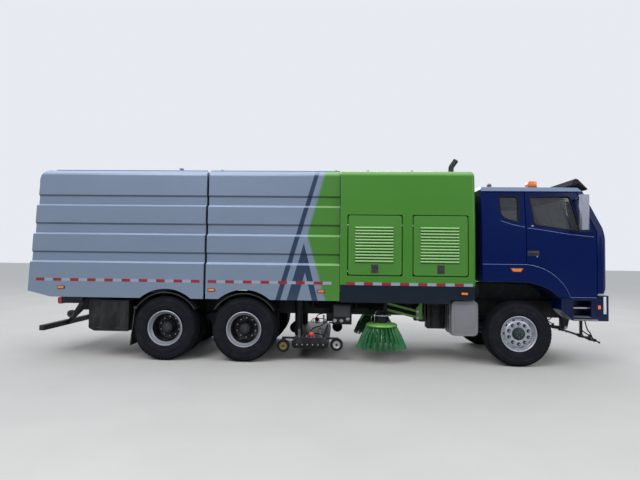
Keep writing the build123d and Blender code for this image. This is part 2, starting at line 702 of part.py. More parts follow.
def tool_box():
    face = outline([(X_REAR - 1350, 520), (X_REAR - 1250, 470), (X_REAR - 650, 470), (X_REAR - 650, 1000),
                    (X_REAR - 1350, 1000)], 25)
    return side_prism(face, (-1180, -560)) + box((X_REAR - 1200, X_REAR - 800), (-562, -RAIL_OUT), (800, 950))


# Sweeping gear

def suction_nozzle():
    x0, x1 = NOZZLE_REAR, NOZZLE_FRONT
    t, half = NOZZLE_T, NOZZLE_HALF
    body = side_prism(outline([(x0, 235), (x0, 330), (x0 + 90, 400), (x1 - 90, 400), (x1, 330), (x1, 235)]),
                      (-half, half))
    body -= side_prism(outline([(x0 + t, 200), (x0 + t, 320), (x0 + 100, 400 - t), (x1 - 100, 400 - t),
                                (x1 - t, 320), (x1 - t, 200)]), (t - half, half - t))
    for side in (-1, 1):
        y = side * PIPE_Y
        body += rod_z(PIPE_X, y, (395, 1120), PIPE_R)
        body -= rod_z(PIPE_X, y, (360, 1130), PIPE_R - PIPE_T)
        for x, z in (REAR_CASTER, FRONT_CASTER):
            fork = box((x - 30, x + 30), across(side, 1010, 1022), (z - 30, 400))
            fork += box((min(x, x0) - 30 if x < x0 else x1 - 40, x + 30 if x > x1 else x0 + 40),
                        across(side, 960, 1022), (372, 400))
            body += fork + rod_y(x, across(side, 1010, 1088), z, CASTER_AXLE_R)
    return body


def suction_sleeves():
    group = []
    for side in (-1, 1):
        y = side * PIPE_Y
        sleeve = rod_z(PIPE_X, y, (900, BODY_FLOOR), PIPE_R + 16) - rod_z(PIPE_X, y, (890, 1190), PIPE_R + 6)
        sleeve += box((PIPE_X - 30, PIPE_X + 30), across(side, RAIL_OUT, PIPE_Y - PIPE_R - 12), (900, 1000))
        group.append(sleeve)
    return group


def casters(place):
    x, z = place
    group = []
    for side in (-1, 1):
        roller = rod_y(x, across(side, 1030, 1082), z, CASTER_R) - rod_y(x, across(side, 1000, 1100), z, CASTER_AXLE_R + BORE_GAP)
        group.append(roller)
    return Compound(children=group)


def brush_post(side):
    y = side * ARM_Y
    body = rod_z(POST_X, y, (714, 1003), 32)
    body += rod_z(POST_X, y, (690, 1030), 16)
    for side_y in (ARM_Y - ARM_T / 2 - 14, ARM_Y + ARM_T / 2 + 2):
        body += side_prism(outline([(POST_X, 712), (POST_X, 1000), (ARM_PIVOT_X - 24, 900), (ARM_PIVOT_X - 24, 712)]),
                           across(side, side_y, side_y + 12))
    for z in (ARM_LOW_Z, ARM_LOW_Z + ARM_RISE):
        body += rod_y(ARM_PIVOT_X, across(side, ARM_Y - 40, ARM_Y + 40), z, 12)
    return body


def brush_mounts():
    group = []
    for side in (-1, 1):
        web = box((POST_X + 45, POST_X + 75), across(side, RAIL_OUT, ARM_Y + 60), (680, 1035))
        for z in ((676, 704), (1008, 1035)):
            web += box((POST_X - 34, POST_X + 60), across(side, ARM_Y - 45, ARM_Y + 45), z)
        web -= rod_z(POST_X, side * ARM_Y, (600, 1100), 17)
        group.append(web)
    return group


def arm_line(z):
    turn = radians(ARM_ANGLE)
    start = (ARM_PIVOT_X, z)
    end = (ARM_PIVOT_X - ARM_LENGTH * cos(turn), z + ARM_LENGTH * sin(turn))
    return start, end


def brush_arm(side, z):
    (x0, z0), (x1, z1) = arm_line(z)
    turn = radians(ARM_ANGLE)
    h = 20
    up = (h * sin(turn), h * cos(turn))
    bar = side_prism(outline([(x0 - up[0], z0 - up[1]), (x0 + up[0], z0 + up[1]), (x1 + up[0], z1 + up[1]),
                              (x1 - up[0], z1 - up[1])]), across(side, ARM_Y - ARM_T / 2, ARM_Y + ARM_T / 2))
    for x, zz in ((x0, z0), (x1, z1)):
        bar += rod_y(x, across(side, ARM_Y - ARM_T / 2, ARM_Y + ARM_T / 2), zz, 22)
    for x, zz in ((x0, z0), (x1, z1)):
        bar -= rod_y(x, across(side, ARM_Y - 40, ARM_Y + 40), zz, 12.5)
    return bar


def brush_head(side):
    x, low = arm_line(ARM_LOW_Z)[1]
    high = low + ARM_RISE
    body = Part()
    for y in (ARM_Y - ARM_T / 2 - 14, ARM_Y + ARM_T / 2 + 2):
        body += side_prism(outline([(x + 26, low - 24), (x + 26, high + 18), (x - 26, high + 18), (x - 60, 790),
                                    (x + 10, 790)]), across(side, y, y + 12))
    for z in (low, high):
        body += rod_y(x, across(side, ARM_Y - 38, ARM_Y + 38), z, 12)
    motor = rod_z(BRUSH_X, side * BRUSH_Y, (668, 795), 120) + rod_z(BRUSH_X, side * BRUSH_Y, (778, 795), 165)
    return body + motor


def side_brush(side):
    top = BRISTLE_TOP + DISC_T
    y = side * BRUSH_Y
    disc = [(0, BRISTLE_TOP), (0, top + 10), (90, top + 10), (110, top), (DISC_R - 20, top - 12), (DISC_R, BRISTLE_TOP + 6),
            (DISC_R, BRISTLE_TOP)]
    skirt = [(DISC_R - 70, BRISTLE_TOP), (DISC_R - 10, BRISTLE_TOP), (BRISTLE_R - 25, 300), (BRISTLE_R, BRISTLE_TIP),
             (BRISTLE_R - 90, BRISTLE_TIP), (BRISTLE_R - 110, 300)]
    face = make_face(Polyline(*disc, close=True)) + make_face(Polyline(*skirt, close=True))
    return Pos(BRUSH_X, y, 0) * revolve(Plane.XZ * face, Axis.Z)


def exhaust_stack():
    path = FilletPolyline((X_REAR + 4990, -420, BODY_TOP), (X_REAR + 4990, -420, BODY_TOP + 200),
                          (X_REAR + 5080, -420, BODY_TOP + 330), radius=90)
    return sweep(Plane(path @ 0, z_dir=path % 0) * Circle(48), path)


def front_spray_bar():
    bar = rod_y(X_FRONT + 1370, (-900, 900), 420, 20)
    for side in (-1, 1):
        bar += box((X_FRONT + 1350, X_FRONT + 1390), across(side, 380, 420), (420, 860))
    return bar


os.makedirs("parts", exist_ok=True)

NODES = {
    "chassis_frame": chassis_frame(),
    "gear_mounts": Compound(children=brush_mounts() + suction_sleeves()),
    "axles": axles(),
    "leaf_springs": leaf_springs(),
    "engine_blocks": engine_blocks(),
    "fuel_tank": fuel_tank(),
    "air_tanks": air_tanks(),
    "front_bumper": front_bumper() + front_spray_bar(),
    "mudguards": mudguards(),
    "rear_bars": rear_bars(),
    "tool_box": tool_box(),
    "water_tank": water_tank(),
    "machine_compartment": machine_compartment(),
    "exhaust_stack": exhaust_stack(),
    "tie_rod": tie_rod(),
    "cab_shell": cab_shell(),
    "cab_glass": Compound(children=[windscreen()] + [pane(QUARTER_WINDOW, side) for _, side in SIDES]),
    "seats": seats(),
    "dashboard": dashboard(),
    "sun_visor": sun_visor(),
    "light_bar": light_bar(),
    "hopper": hopper(),
    "tail_door": tail_door(),
    "suction_nozzle": suction_nozzle(),
    "nozzle_wheels_rear": casters(REAR_CASTER),
    "nozzle_wheels_front": casters(FRONT_CASTER),
}

for name, side in SIDES:
    NODES["knuckle_" + name] = knuckle(side)
    NODES["tyre_front_" + name] = tyre(X_FRONT, side * FRONT_TRACK_HALF, side)
    NODES["wheel_front_" + name] = front_wheel(side)
    for place, x in (("mid", X_MID), ("rear", X_REAR)):
        pair = [tyre(x, side * y, side) for y in (TWIN_OUTER_Y, TWIN_OUTER_Y - TWIN_SPACING)]
        NODES[f"tyres_{place}_{name}"] = Compound(children=pair)
        NODES[f"wheels_{place}_{name}"] = twin_wheel(x, side)
    NODES["cab_door_" + name] = cab_door(side)
    NODES["door_glass_" + name] = pane(DOOR_WINDOW, side)
    NODES["mirror_" + name] = mirror_arm(side)
    for place, low, high in DOOR_STATIONS:
        NODES[f"access_door_{place}_{name}"] = access_door(side, low, high)
    NODES["brush_post_" + name] = brush_post(side)
    NODES["brush_lower_arm_" + name] = brush_arm(side, ARM_LOW_Z)
    NODES["brush_upper_arm_" + name] = brush_arm(side, ARM_LOW_Z + ARM_RISE)
    NODES["brush_head_" + name] = brush_head(side)
    NODES["side_brush_" + name] = side_brush(side)

for name, shape in NODES.items():
    export_step(shape, f"parts/{name}.step")
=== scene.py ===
"""Dresses the street sweeper truck: finishes, wheels, sweeping gear, cab, body trim and the studio."""

import logging
import math
import random
from dataclasses import dataclass, field
from enum import Enum

import bpy
from mathutils import Matrix, Vector


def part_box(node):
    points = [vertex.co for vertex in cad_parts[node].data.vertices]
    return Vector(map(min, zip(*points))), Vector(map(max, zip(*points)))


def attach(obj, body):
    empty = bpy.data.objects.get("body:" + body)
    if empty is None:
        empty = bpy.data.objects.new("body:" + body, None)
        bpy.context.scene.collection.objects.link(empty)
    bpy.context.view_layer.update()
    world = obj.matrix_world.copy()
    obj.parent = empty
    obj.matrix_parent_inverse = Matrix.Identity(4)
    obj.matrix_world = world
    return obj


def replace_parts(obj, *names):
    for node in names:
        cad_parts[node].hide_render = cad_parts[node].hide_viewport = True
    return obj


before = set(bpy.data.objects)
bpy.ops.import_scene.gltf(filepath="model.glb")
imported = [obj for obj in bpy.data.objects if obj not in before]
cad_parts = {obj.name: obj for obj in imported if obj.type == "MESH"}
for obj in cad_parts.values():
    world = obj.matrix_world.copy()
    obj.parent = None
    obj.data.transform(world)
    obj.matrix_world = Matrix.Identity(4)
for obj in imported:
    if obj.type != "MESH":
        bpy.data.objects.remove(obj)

LOG = logging.getLogger("sweeper")
Mesh = bpy.types.Object
Socket = bpy.types.NodeSocket
Point = tuple[float, float, float]
Colour = tuple[float, float, float]
Value = Socket | Colour | float
Span = tuple[float, float]
Profile = list[tuple[float, float]]

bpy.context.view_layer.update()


class Side(Enum):
    """The two sides of the truck, by the sign of Y."""

    RIGHT = -1
    LEFT = 1

    @property
    def word(self) -> str:
        """The side's name as the nodes spell it."""
        return self.name.lower()


class Way(Enum):
    """Directions of a turned shape's axis, each with the one in which its radius is drawn."""

    OUT = (0, 1, 0), (0, 0, 1)
    AHEAD = (1, 0, 0), (0, 0, 1)
    BACK = (-1, 0, 0), (0, 0, 1)
    UP = (0, 0, 1), (1, 0, 0)


def mm(text: str) -> list[tuple[float, ...]]:
    """Reads points that are written in millimetres, with commas in a point and spaces between points."""
    return [tuple(float(part) / 1000 for part in point.split(",")) for point in text.split()]


def from_srgb(red: int, green: int, blue: int) -> Colour:
    """Turns a screen colour into the linear one that shaders take.

    Args:
        red: Screen value from 0 to 255.
        green: Screen value from 0 to 255.
        blue: Screen value from 0 to 255.

    Returns:
        The linear colour.
    """
    def linear(value: int) -> float:
        """One channel's linear value."""
        share = value / 255
        return share / 12.92 if share <= 0.04045 else ((share + 0.055) / 1.055) ** 2.4

    return linear(red), linear(green), linear(blue)


# Stations in metres, most of them read from the frame

TYRE_R = 0.5425
FRONT_X = (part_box("tyre_front_right")[0][0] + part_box("tyre_front_right")[1][0]) / 2
MID_X = (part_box("tyres_mid_right")[0][0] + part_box("tyres_mid_right")[1][0]) / 2
REAR_X = (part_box("tyres_rear_right")[0][0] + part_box("tyres_rear_right")[1][0]) / 2
BODY_HALF = 1.245
HOPPER_LOW, HOPPER_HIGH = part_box("hopper")
TANK_LOW, TANK_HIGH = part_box("water_tank")
CAB_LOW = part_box("cab_shell")[0]
BUMPER_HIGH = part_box("front_bumper")[1]


class Graph:
    """A small helper that wires shader nodes for one material."""

    def __init__(self, name: str) -> None:
        """Starts an empty material with a principled shader.

        Args:
            name: The material's name.
        """
        self.material = bpy.data.materials.new(name)
        self.material.use_nodes = True
        self.tree = self.material.node_tree
        self.shader = self.tree.nodes["Principled BSDF"]
        coords = self.tree.nodes.new("ShaderNodeTexCoord")
        self.place = coords.outputs["Object"]
        self.split = self.tree.nodes.new("ShaderNodeSeparateXYZ")
        self.tree.links.new(self.place, self.split.inputs[0])

    def axis(self, letter: str) -> Socket:
        """The object coordinate along one axis."""
        return self.split.outputs[letter]

    def wire(self, source: Value, target: Socket) -> None:
        """Sets a socket to a value or links it to another socket.

        Args:
            source: A number, a colour or an output socket.
            target: The input socket.
        """
        if isinstance(source, bpy.types.NodeSocket):
            self.tree.links.new(source, target)
        elif isinstance(source, tuple) and len(source) == 3 and target.type == "RGBA":
            target.default_value = (*source, 1)
        else:
            target.default_value = source

    def maths(self, kind: str, first: Value, second: Value = 0.0, clamp: bool = False) -> Socket:
        """One arithmetic node.

        Args:
            kind: Blender's name of the operation.
            first: First operand.
            second: Second operand.
            clamp: Whether the result stays between 0 and 1.

        Returns:
            The node's output socket.
        """
        node = self.tree.nodes.new("ShaderNodeMath")
        node.operation = kind
        node.use_clamp = clamp
        self.wire(first, node.inputs[0])
        self.wire(second, node.inputs[1])
        return node.outputs[0]

    def scaled(self, value: Value, factor: float, shift: float) -> Socket:
        """A value times a factor, plus a shift."""
        out = self.maths("MULTIPLY_ADD", value, factor)
        out.node.inputs[2].default_value = shift
        return out

    def blend(self, share: Value, first: Value, second: Value) -> Socket:
        """Mixes two colours by a share and returns the colour socket."""
        node = self.tree.nodes.new("ShaderNodeMix")
        node.data_type = "RGBA"
        self.wire(share, node.inputs[0])
        self.wire(first, node.inputs[6])
        self.wire(second, node.inputs[7])
        return node.outputs[2]

    def noise(self, scale: float, detail: float = 4.0, stretch: Point = (1, 1, 1),
              rough: float = 0.55) -> Socket:
        """Cloudy noise over the object coordinates.

        Args:
            scale: How fine the clouds are.
            detail: Octaves of detail.
            stretch: Scale along each axis before the noise is read.
            rough: Strength of the fine octaves.

        Returns:
            The noise's factor socket.
        """
        mapping = self.tree.nodes.new("ShaderNodeMapping")
        mapping.inputs["Scale"].default_value = stretch
        self.tree.links.new(self.place, mapping.inputs[0])
        node = self.tree.nodes.new("ShaderNodeTexNoise")
        node.inputs["Scale"].default_value = scale
        node.inputs["Detail"].default_value = detail
        node.inputs["Roughness"].default_value = rough
        self.tree.links.new(mapping.outputs[0], node.inputs["Vector"])
        return node.outputs[0]

    def facing(self) -> Socket:
        """How far the surface faces up, from -1 to 1."""
        shape = self.tree.nodes.new("ShaderNodeNewGeometry")
        split = self.tree.nodes.new("ShaderNodeSeparateXYZ")
        self.tree.links.new(shape.outputs["Normal"], split.inputs[0])
        return split.outputs["Z"]

    def band(self, value: Value, low: float, high: float) -> Socket:
        """A share that rises from 0 to 1 as the value goes from low to high, smoothly."""
        node = self.tree.nodes.new("ShaderNodeMapRange")
        node.interpolation_type = "SMOOTHSTEP"
        self.wire(value, node.inputs[0])
        node.inputs[1].default_value = low
        node.inputs[2].default_value = high
        return node.outputs[0]

    def bump(self, height: Socket, strength: float, distance: float = 0.002) -> None:
        """Adds fine relief to the shader.

        Args:
            height: The height's socket.
            strength: Strength from 0 to 1.
            distance: Depth of the relief in metres.
        """
        node = self.tree.nodes.new("ShaderNodeBump")
        node.inputs["Strength"].default_value = strength
        node.inputs["Distance"].default_value = distance
        self.wire(height, node.inputs["Height"])
        self.tree.links.new(node.outputs[0], self.shader.inputs["Normal"])

    def set(self, **values: Value) -> None:
        """Sets shader sockets by name, with spaces written as underscores."""
        for name, value in values.items():
            self.wire(value, self.shader.inputs[name.replace("_", " ")])


DUST = from_srgb(150, 142, 128)
NAVY_STRIPE = from_srgb(28, 48, 76)
LEAF_GREEN = from_srgb(60, 116, 38)
SILVER = from_srgb(109, 123, 143)
NAVY_SKIRT = from_srgb(0, 17, 32)
# Tints of the painted light on paint: painted sky reflection over silver and navy, painted reflection over
# green, and painted shade.
PAINTED_SKY_REFLECTION = from_srgb(190, 210, 240)
PAINTED_GREEN_REFLECTION = from_srgb(176, 226, 150)
PAINTED_SHADE = from_srgb(16, 22, 30)


@dataclass(frozen=True)
class Paint:
    """Sprayed body paint with orange peel, soft colour drift, road dust near the ground, and painted light: a
    painted sky reflection on faces that point up and painted shade on faces that point down.
    """

    name: str
    colour: Colour
    gloss: float = 0.32
    metallic: float = 0.0
    coat: float = 0.5
    specular: float = 0.35
    dust: float = 0.25
    dust_top: float = 1.3
    stripes: bool = False
    skirt_top: float = 0.0
    skirt: Colour = NAVY_SKIRT
    # The next two fields set the painted light: its share, and the tint of the painted sky reflection on
    # faces that point up; faces that point down take painted shade.
    film: float = 0.35
    sky: Colour = PAINTED_SKY_REFLECTION

    def livery(self, graph: Graph) -> tuple[Socket, Socket]:
        """The stripes of the water tank, drawn from its own side coordinates.

        Args:
            graph: The material being wired.

        Returns:
            The colour socket and the tint of the painted sky reflection that its upward faces take.
        """
        along, up = graph.axis("X"), graph.axis("Z")

        def right_of(foot_x: float, foot_z: float, lean: float, soft: float = 0.004) -> Socket:
            """Share that is 1 to the right of a leaning line through a foot point."""
            line = graph.scaled(up, lean, foot_x - lean * foot_z)
            return graph.band(graph.maths("SUBTRACT", along, line), -soft, soft)

        def between(left: Socket, right: Socket) -> Socket:
            """Share inside a left and a right line."""
            return graph.maths("MULTIPLY", left, graph.maths("SUBTRACT", 1.0, right))

        bar = between(right_of(-0.652, 1.044, 0.2955), right_of(-0.566, 1.045, 0.2908))
        outer = between(right_of(-0.458, 1.047, 0.2859), right_of(0.067, 1.047, -0.256))
        inner = between(right_of(-0.282, 1.042, 0.269), right_of(-0.029, 1.046, -0.2605))
        legs = graph.maths("MULTIPLY", outer, graph.maths("SUBTRACT", 1.0, inner))
        navy = graph.maths("ADD", bar, legs, clamp=True)
        edge = graph.maths("MULTIPLY", right_of(-0.129, 2.152, 0.2731, 0.03),
                           right_of(-0.129, 2.152, -0.293, 0.03))
        colour = graph.blend(edge, self.colour, LEAF_GREEN)
        return graph.blend(navy, colour, NAVY_STRIPE), graph.blend(edge, PAINTED_SKY_REFLECTION, PAINTED_GREEN_REFLECTION)

    def build(self) -> bpy.types.Material:
        """Wires the paint and returns its material."""
        graph = Graph(self.name)
        base, sky = self.livery(graph) if self.stripes else (self.colour, self.sky)
        if self.skirt_top:
            above = graph.band(graph.axis("Z"), self.skirt_top - 0.002, self.skirt_top + 0.002)
            base = graph.blend(above, self.skirt, self.colour)
        drift = graph.noise(0.9, 3)
        shade = graph.tree.nodes.new("ShaderNodeHueSaturation")
        graph.wire(base, shade.inputs["Color"])
        graph.wire(graph.scaled(drift, 0.14, 0.93), shade.inputs["Value"])
        grime = graph.noise(5.0, 6, (1, 1, 0.35))
        low = graph.maths("SUBTRACT", 1.0, graph.band(graph.axis("Z"), self.dust_top - 0.7, self.dust_top))
        cover = graph.maths("MULTIPLY", low, graph.band(grime, 0.35, 0.8))
        cover = graph.maths("MULTIPLY", cover, self.dust)
        # Painted light: faces that point up are blended towards the painted sky reflection, faces that point
        # down towards painted shade.
        lit = graph.maths("MULTIPLY", graph.band(graph.facing(), 0.12, 0.62), self.film)
        dark = graph.maths("MULTIPLY", graph.band(graph.maths("MULTIPLY", graph.facing(), -1.0), 0.15, 0.7),
                           self.film)
        painted_light_colour = graph.blend(lit, graph.blend(dark, shade.outputs[0], PAINTED_SHADE), sky)
        graph.set(Base_Color=graph.blend(cover, painted_light_colour, DUST))
        rough = graph.scaled(grime, 0.12, self.gloss - 0.05)
        graph.set(Roughness=rough, Metallic=self.metallic, Coat_Weight=self.coat, Coat_Roughness=0.08)
        graph.set(Specular_IOR_Level=self.specular)
        graph.bump(graph.noise(220.0, 2), 0.05, 0.0006)
        return graph.material


@dataclass(frozen=True)
class Metal:
    """Bare or thinly coated metal with brushed streaks and dull patches."""

    name: str
    colour: Colour
    gloss: float = 0.35
    metallic: float = 1.0
    grain: Point = (1, 1, 1)
    patch: float = 0.25
    dust: float = 0.2

    def build(self) -> bpy.types.Material:
        """Wires the metal and returns its material."""
        graph = Graph(self.name)
        streak = graph.noise(60.0, 5, self.grain)
        patch = graph.noise(4.0, 5)
        dull = tuple(c * 0.6 for c in self.colour)
        colour = graph.blend(graph.maths("MULTIPLY", graph.band(patch, 0.4, 0.8), self.patch), self.colour,
                             dull)
        dirt = graph.maths("MULTIPLY", graph.band(graph.noise(9.0, 6), 0.5, 0.8), self.dust)
        graph.set(Base_Color=graph.blend(dirt, colour, DUST), Metallic=self.metallic)
        rough = graph.scaled(streak, 0.25, self.gloss - 0.08)
        graph.set(Roughness=rough)
        graph.bump(streak, 0.12, 0.0008)
        return graph.material


@dataclass(frozen=True)
class Rubber:
    """Tyre and hose rubber with clouds of grey dust."""

    name: str
    colour: Colour = from_srgb(10, 13, 21)
    dust: float = 0.22

    def build(self) -> bpy.types.Material:
        """Wires the rubber and returns its material."""
        graph = Graph(self.name)
        cloud = graph.noise(7.0, 6)
        grey = from_srgb(50, 50, 53)
        share = graph.maths("MULTIPLY", graph.band(cloud, 0.42, 0.75), self.dust)
        graph.set(Base_Color=graph.blend(share, self.colour, grey), Roughness=0.8, Specular_IOR_Level=0.2)
        graph.bump(graph.noise(160.0, 4), 0.25, 0.0012)
        return graph.material


@dataclass(frozen=True)
class Plastic:
    """Moulded plastic with a fine grain and a little dust."""

    name: str
    colour: Colour
    gloss: float = 0.5
    grain: float = 0.2
    dust: float = 0.12

    def build(self) -> bpy.types.Material:
        """Wires the plastic and returns its material."""
        graph = Graph(self.name)
        cloud = graph.noise(6.0, 5)
        share = graph.maths("MULTIPLY", graph.band(cloud, 0.45, 0.8), self.dust)
        graph.set(Base_Color=graph.blend(share, self.colour, DUST))
        rough = graph.scaled(cloud, 0.15, self.gloss - 0.07)
        graph.set(Roughness=rough)
        graph.bump(graph.noise(400.0, 2), self.grain, 0.0006)
        return graph.material


@dataclass(frozen=True)
class Glazing:
    """Tinted window glass that shows the dim cab behind it."""

    name: str
    tint: Colour = from_srgb(44, 52, 60)
    alpha: float = 0.62

    def build(self) -> bpy.types.Material:
        """Wires the glass and returns its material."""
        graph = Graph(self.name)
        smear = graph.noise(3.0, 5)
        rough = graph.scaled(smear, 0.06, 0.01)
        dark = tuple(c * 0.4 for c in self.tint)
        graph.set(Base_Color=graph.blend(graph.band(smear, 0.3, 0.8), self.tint, dark))
        graph.set(Roughness=rough, Alpha=self.alpha, Specular_IOR_Level=0.9)
        return graph.material


@dataclass(frozen=True)
class Lens:
    """Coloured lamp plastic with moulded ribs behind a glossy face."""

    name: str
    colour: Colour
    glow: float = 0.0
    ribs: float = 90.0

    def build(self) -> bpy.types.Material:
        """Wires the lens and returns its material."""
        graph = Graph(self.name)
        wave = graph.tree.nodes.new("ShaderNodeTexWave")
        wave.inputs["Scale"].default_value = self.ribs
        graph.tree.links.new(graph.place, wave.inputs["Vector"])
        deep = tuple(c * 0.45 for c in self.colour)
        graph.set(Base_Color=graph.blend(wave.outputs[1], self.colour, deep), Roughness=0.12, Coat_Weight=0.6)
        if self.glow:
            graph.set(Emission_Color=self.colour, Emission_Strength=self.glow)
        graph.bump(wave.outputs[1], 0.3, 0.002)
        return graph.material


@dataclass(frozen=True)
class Bristle:
    """Stiff green plastic bristle in dark and pale streaks along its length; the pale streaks are partly
    painted highlight.
    """

    name: str
    root: Colour = from_srgb(16, 104, 50)
    # Colour of the pale streaks, partly painted highlight; noise places the streaks, not the tip.
    tip: Colour = from_srgb(122, 192, 140)

    def build(self) -> bpy.types.Material:
        """Wires the bristle and returns its material."""
        graph = Graph(self.name)
        fine = graph.noise(55.0, 3, (1, 1, 0.15))
        share = graph.maths("MULTIPLY", graph.band(fine, 0.45, 0.85), 0.75)
        graph.set(Base_Color=graph.blend(share, self.root, self.tip), Roughness=0.42)
        return graph.material


@dataclass(frozen=True)
class Cloth:
    """Woven seat cover."""

    name: str
    colour: Colour
    thread: Colour

    def build(self) -> bpy.types.Material:
        """Wires the weave and returns its material."""
        graph = Graph(self.name)
        weave = graph.tree.nodes.new("ShaderNodeTexChecker")
        weave.inputs["Scale"].default_value = 420.0
        graph.tree.links.new(graph.place, weave.inputs["Vector"])
        cloud = graph.noise(14.0, 4)
        mixed = graph.blend(weave.outputs[1], self.colour, self.thread)
        graph.set(Base_Color=graph.blend(graph.maths("MULTIPLY", cloud, 0.3), mixed, self.colour))
        graph.set(Roughness=0.9, Sheen_Weight=0.3)
        graph.bump(weave.outputs[1], 0.35, 0.001)
        return graph.material


FINISHES = (
    Paint("silver_paint", SILVER, 0.34, 0.1, 0.25, film=0.5),
    Paint("silver_striped", SILVER, 0.34, 0.1, 0.25, stripes=True, film=0.5),
    Paint("green_paint", LEAF_GREEN, 0.32, 0.0, 0.25, sky=PAINTED_GREEN_REFLECTION),
    Paint("green_skirted", LEAF_GREEN, 0.32, 0.0, 0.1, specular=0.22, dust=0.04, skirt_top=1.325,
          sky=PAINTED_GREEN_REFLECTION),
    # A lighter green with stronger painted light: painted highlight on the louvre hoods.
    Paint("louvre_green", from_srgb(72, 126, 46), 0.32, 0.0, 0.25, film=0.7, sky=PAINTED_GREEN_REFLECTION),
    Paint("navy_paint", from_srgb(0, 18, 68), 0.2, 0.0, 0.05, specular=0.1, dust=0.03, film=0.3),
    Paint("navy_bumper", from_srgb(0, 16, 54), 0.24, 0.0, 0.08, specular=0.18, dust=0.06,
          skirt_top=0.789, skirt=from_srgb(10, 11, 14), film=0.3),
    # A lighter copy of the cab's navy: painted highlight on ledges, creases and the door sill.
    Paint("navy_bright", from_srgb(60, 84, 150), 0.25, 0.0, 0.3, dust=0.05),
    Paint("chassis_black", from_srgb(13, 16, 22), 0.5, 0.0, 0.05, specular=0.2, dust=0.12, film=0.08),
    Paint("gear_green", from_srgb(72, 132, 40), 0.35, 0.0, 0.3, dust=0.2, sky=PAINTED_GREEN_REFLECTION),
    Paint("red_paint", from_srgb(214, 22, 22), 0.3, 0.0, 0.5, dust=0.0, film=0.1),
    Metal("hub_green", from_srgb(30, 44, 44), 0.5, 0.3, dust=0.15),
    Paint("disc_green", from_srgb(88, 152, 40), 0.3, 0.0, 0.3, dust=0.05, film=0.2, sky=PAINTED_GREEN_REFLECTION),
    Metal("cast_dark", from_srgb(34, 37, 42), 0.6, 0.2, dust=0.12),
    Metal("rim_silver", from_srgb(158, 162, 172), 0.36, 0.55, patch=0.3, dust=0.12),
    # Dark rim finish for the nuts, and for the inner barrel and dish, where it is partly painted shade.
    Metal("rim_black", from_srgb(24, 24, 28), 0.5, 0.2, dust=0.3),
    Metal("bare_steel", from_srgb(172, 174, 178), 0.3, 1.0),
    Metal("tank_alloy", from_srgb(118, 120, 124), 0.45, 0.25, (1, 1, 12), 0.3),
    Rubber("tyre_rubber"),
    Rubber("hose_rubber", from_srgb(20, 20, 22), 0.2),
    Plastic("black_plastic", from_srgb(24, 25, 28)),
    Plastic("visor_black", from_srgb(6, 8, 12), 0.85),
    Plastic("grey_plastic", from_srgb(70, 72, 76)),
    Plastic("mirror_shell", from_srgb(130, 134, 150), 0.25, 0.05),
    Metal("mirror_glass", from_srgb(200, 206, 214), 0.09, 1.0, patch=0.05, dust=0.0),
    Glazing("glass"),
    Metal("chequer", from_srgb(168, 172, 178), 0.34, 0.8, patch=0.2, dust=0.15),
    # A yellow darkened to olive: the caster cap's colour with painted shade from under the nozzle.
    Plastic("yellow_cap", from_srgb(104, 92, 34), 0.5),
    Lens("amber_lens", from_srgb(240, 120, 24), 0.15),
    Lens("red_lens", from_srgb(176, 24, 20)),
    Lens("clear_lens", from_srgb(222, 226, 228)),
    Glazing("lamp_glass", from_srgb(226, 232, 236), 0.25),
    Plastic("tape_red", from_srgb(128, 12, 30), 0.4, 0.3, 0.05),
    Plastic("tape_white", from_srgb(132, 141, 156), 0.35, 0.3, 0.05),
    Bristle("bristle"),
    Plastic("dial", from_srgb(206, 208, 204), 0.3, 0.0, 0.0),
    Cloth("seat_cloth", from_srgb(52, 54, 60), from_srgb(84, 86, 92)),
)
MATERIALS = {finish.name: finish.build() for finish in FINISHES}


# The modelling steps that every sub-assembly shares


def clear() -> None:
    """Leaves nothing selected."""
    if bpy.context.object and bpy.context.object.mode != "OBJECT":
        bpy.ops.object.mode_set(mode="OBJECT")
    bpy.ops.object.select_all(action="DESELECT")


def take(obj: Mesh) -> Mesh:
    """Makes one object the only one selected and active."""
    clear()
    obj.select_set(True)
    bpy.context.view_layer.objects.active = obj
    return obj


def settle(obj: Mesh) -> Mesh:
    """Puts the object's place, turn and scale into its mesh."""
    take(obj)
    bpy.ops.object.transform_apply(location=True, rotation=True, scale=True)
    return obj


def edit(obj: Mesh) -> None:
    """Opens the object in edit mode with all of it selected."""
    take(obj)
    bpy.ops.object.mode_set(mode="EDIT")
    bpy.ops.mesh.select_all(action="SELECT")


def done() -> None:
    """Back to object mode."""
    bpy.ops.object.mode_set(mode="OBJECT")


def block(low: Point, high: Point, bevel: float = 0.0, segments: int = 2) -> Mesh:
    """A block between two corners, with its edges rounded.

    Args:
        low: Lowest corner in metres.
        high: Highest corner in metres.
        bevel: Width of the rounded edges.
        segments: Steps of each rounding.

    Returns:
        The new object, settled.
    """
    clear()
    centre = [(a + b) / 2 for a, b in zip(low, high)]
    bpy.ops.mesh.primitive_cube_add(size=1, location=centre)
    obj = bpy.context.object
    obj.scale = [b - a for a, b in zip(low, high)]
    settle(obj)
    if bevel:
        edit(obj)
        bpy.ops.mesh.bevel(offset=bevel, segments=segments, affect="EDGES")
        done()
    return obj


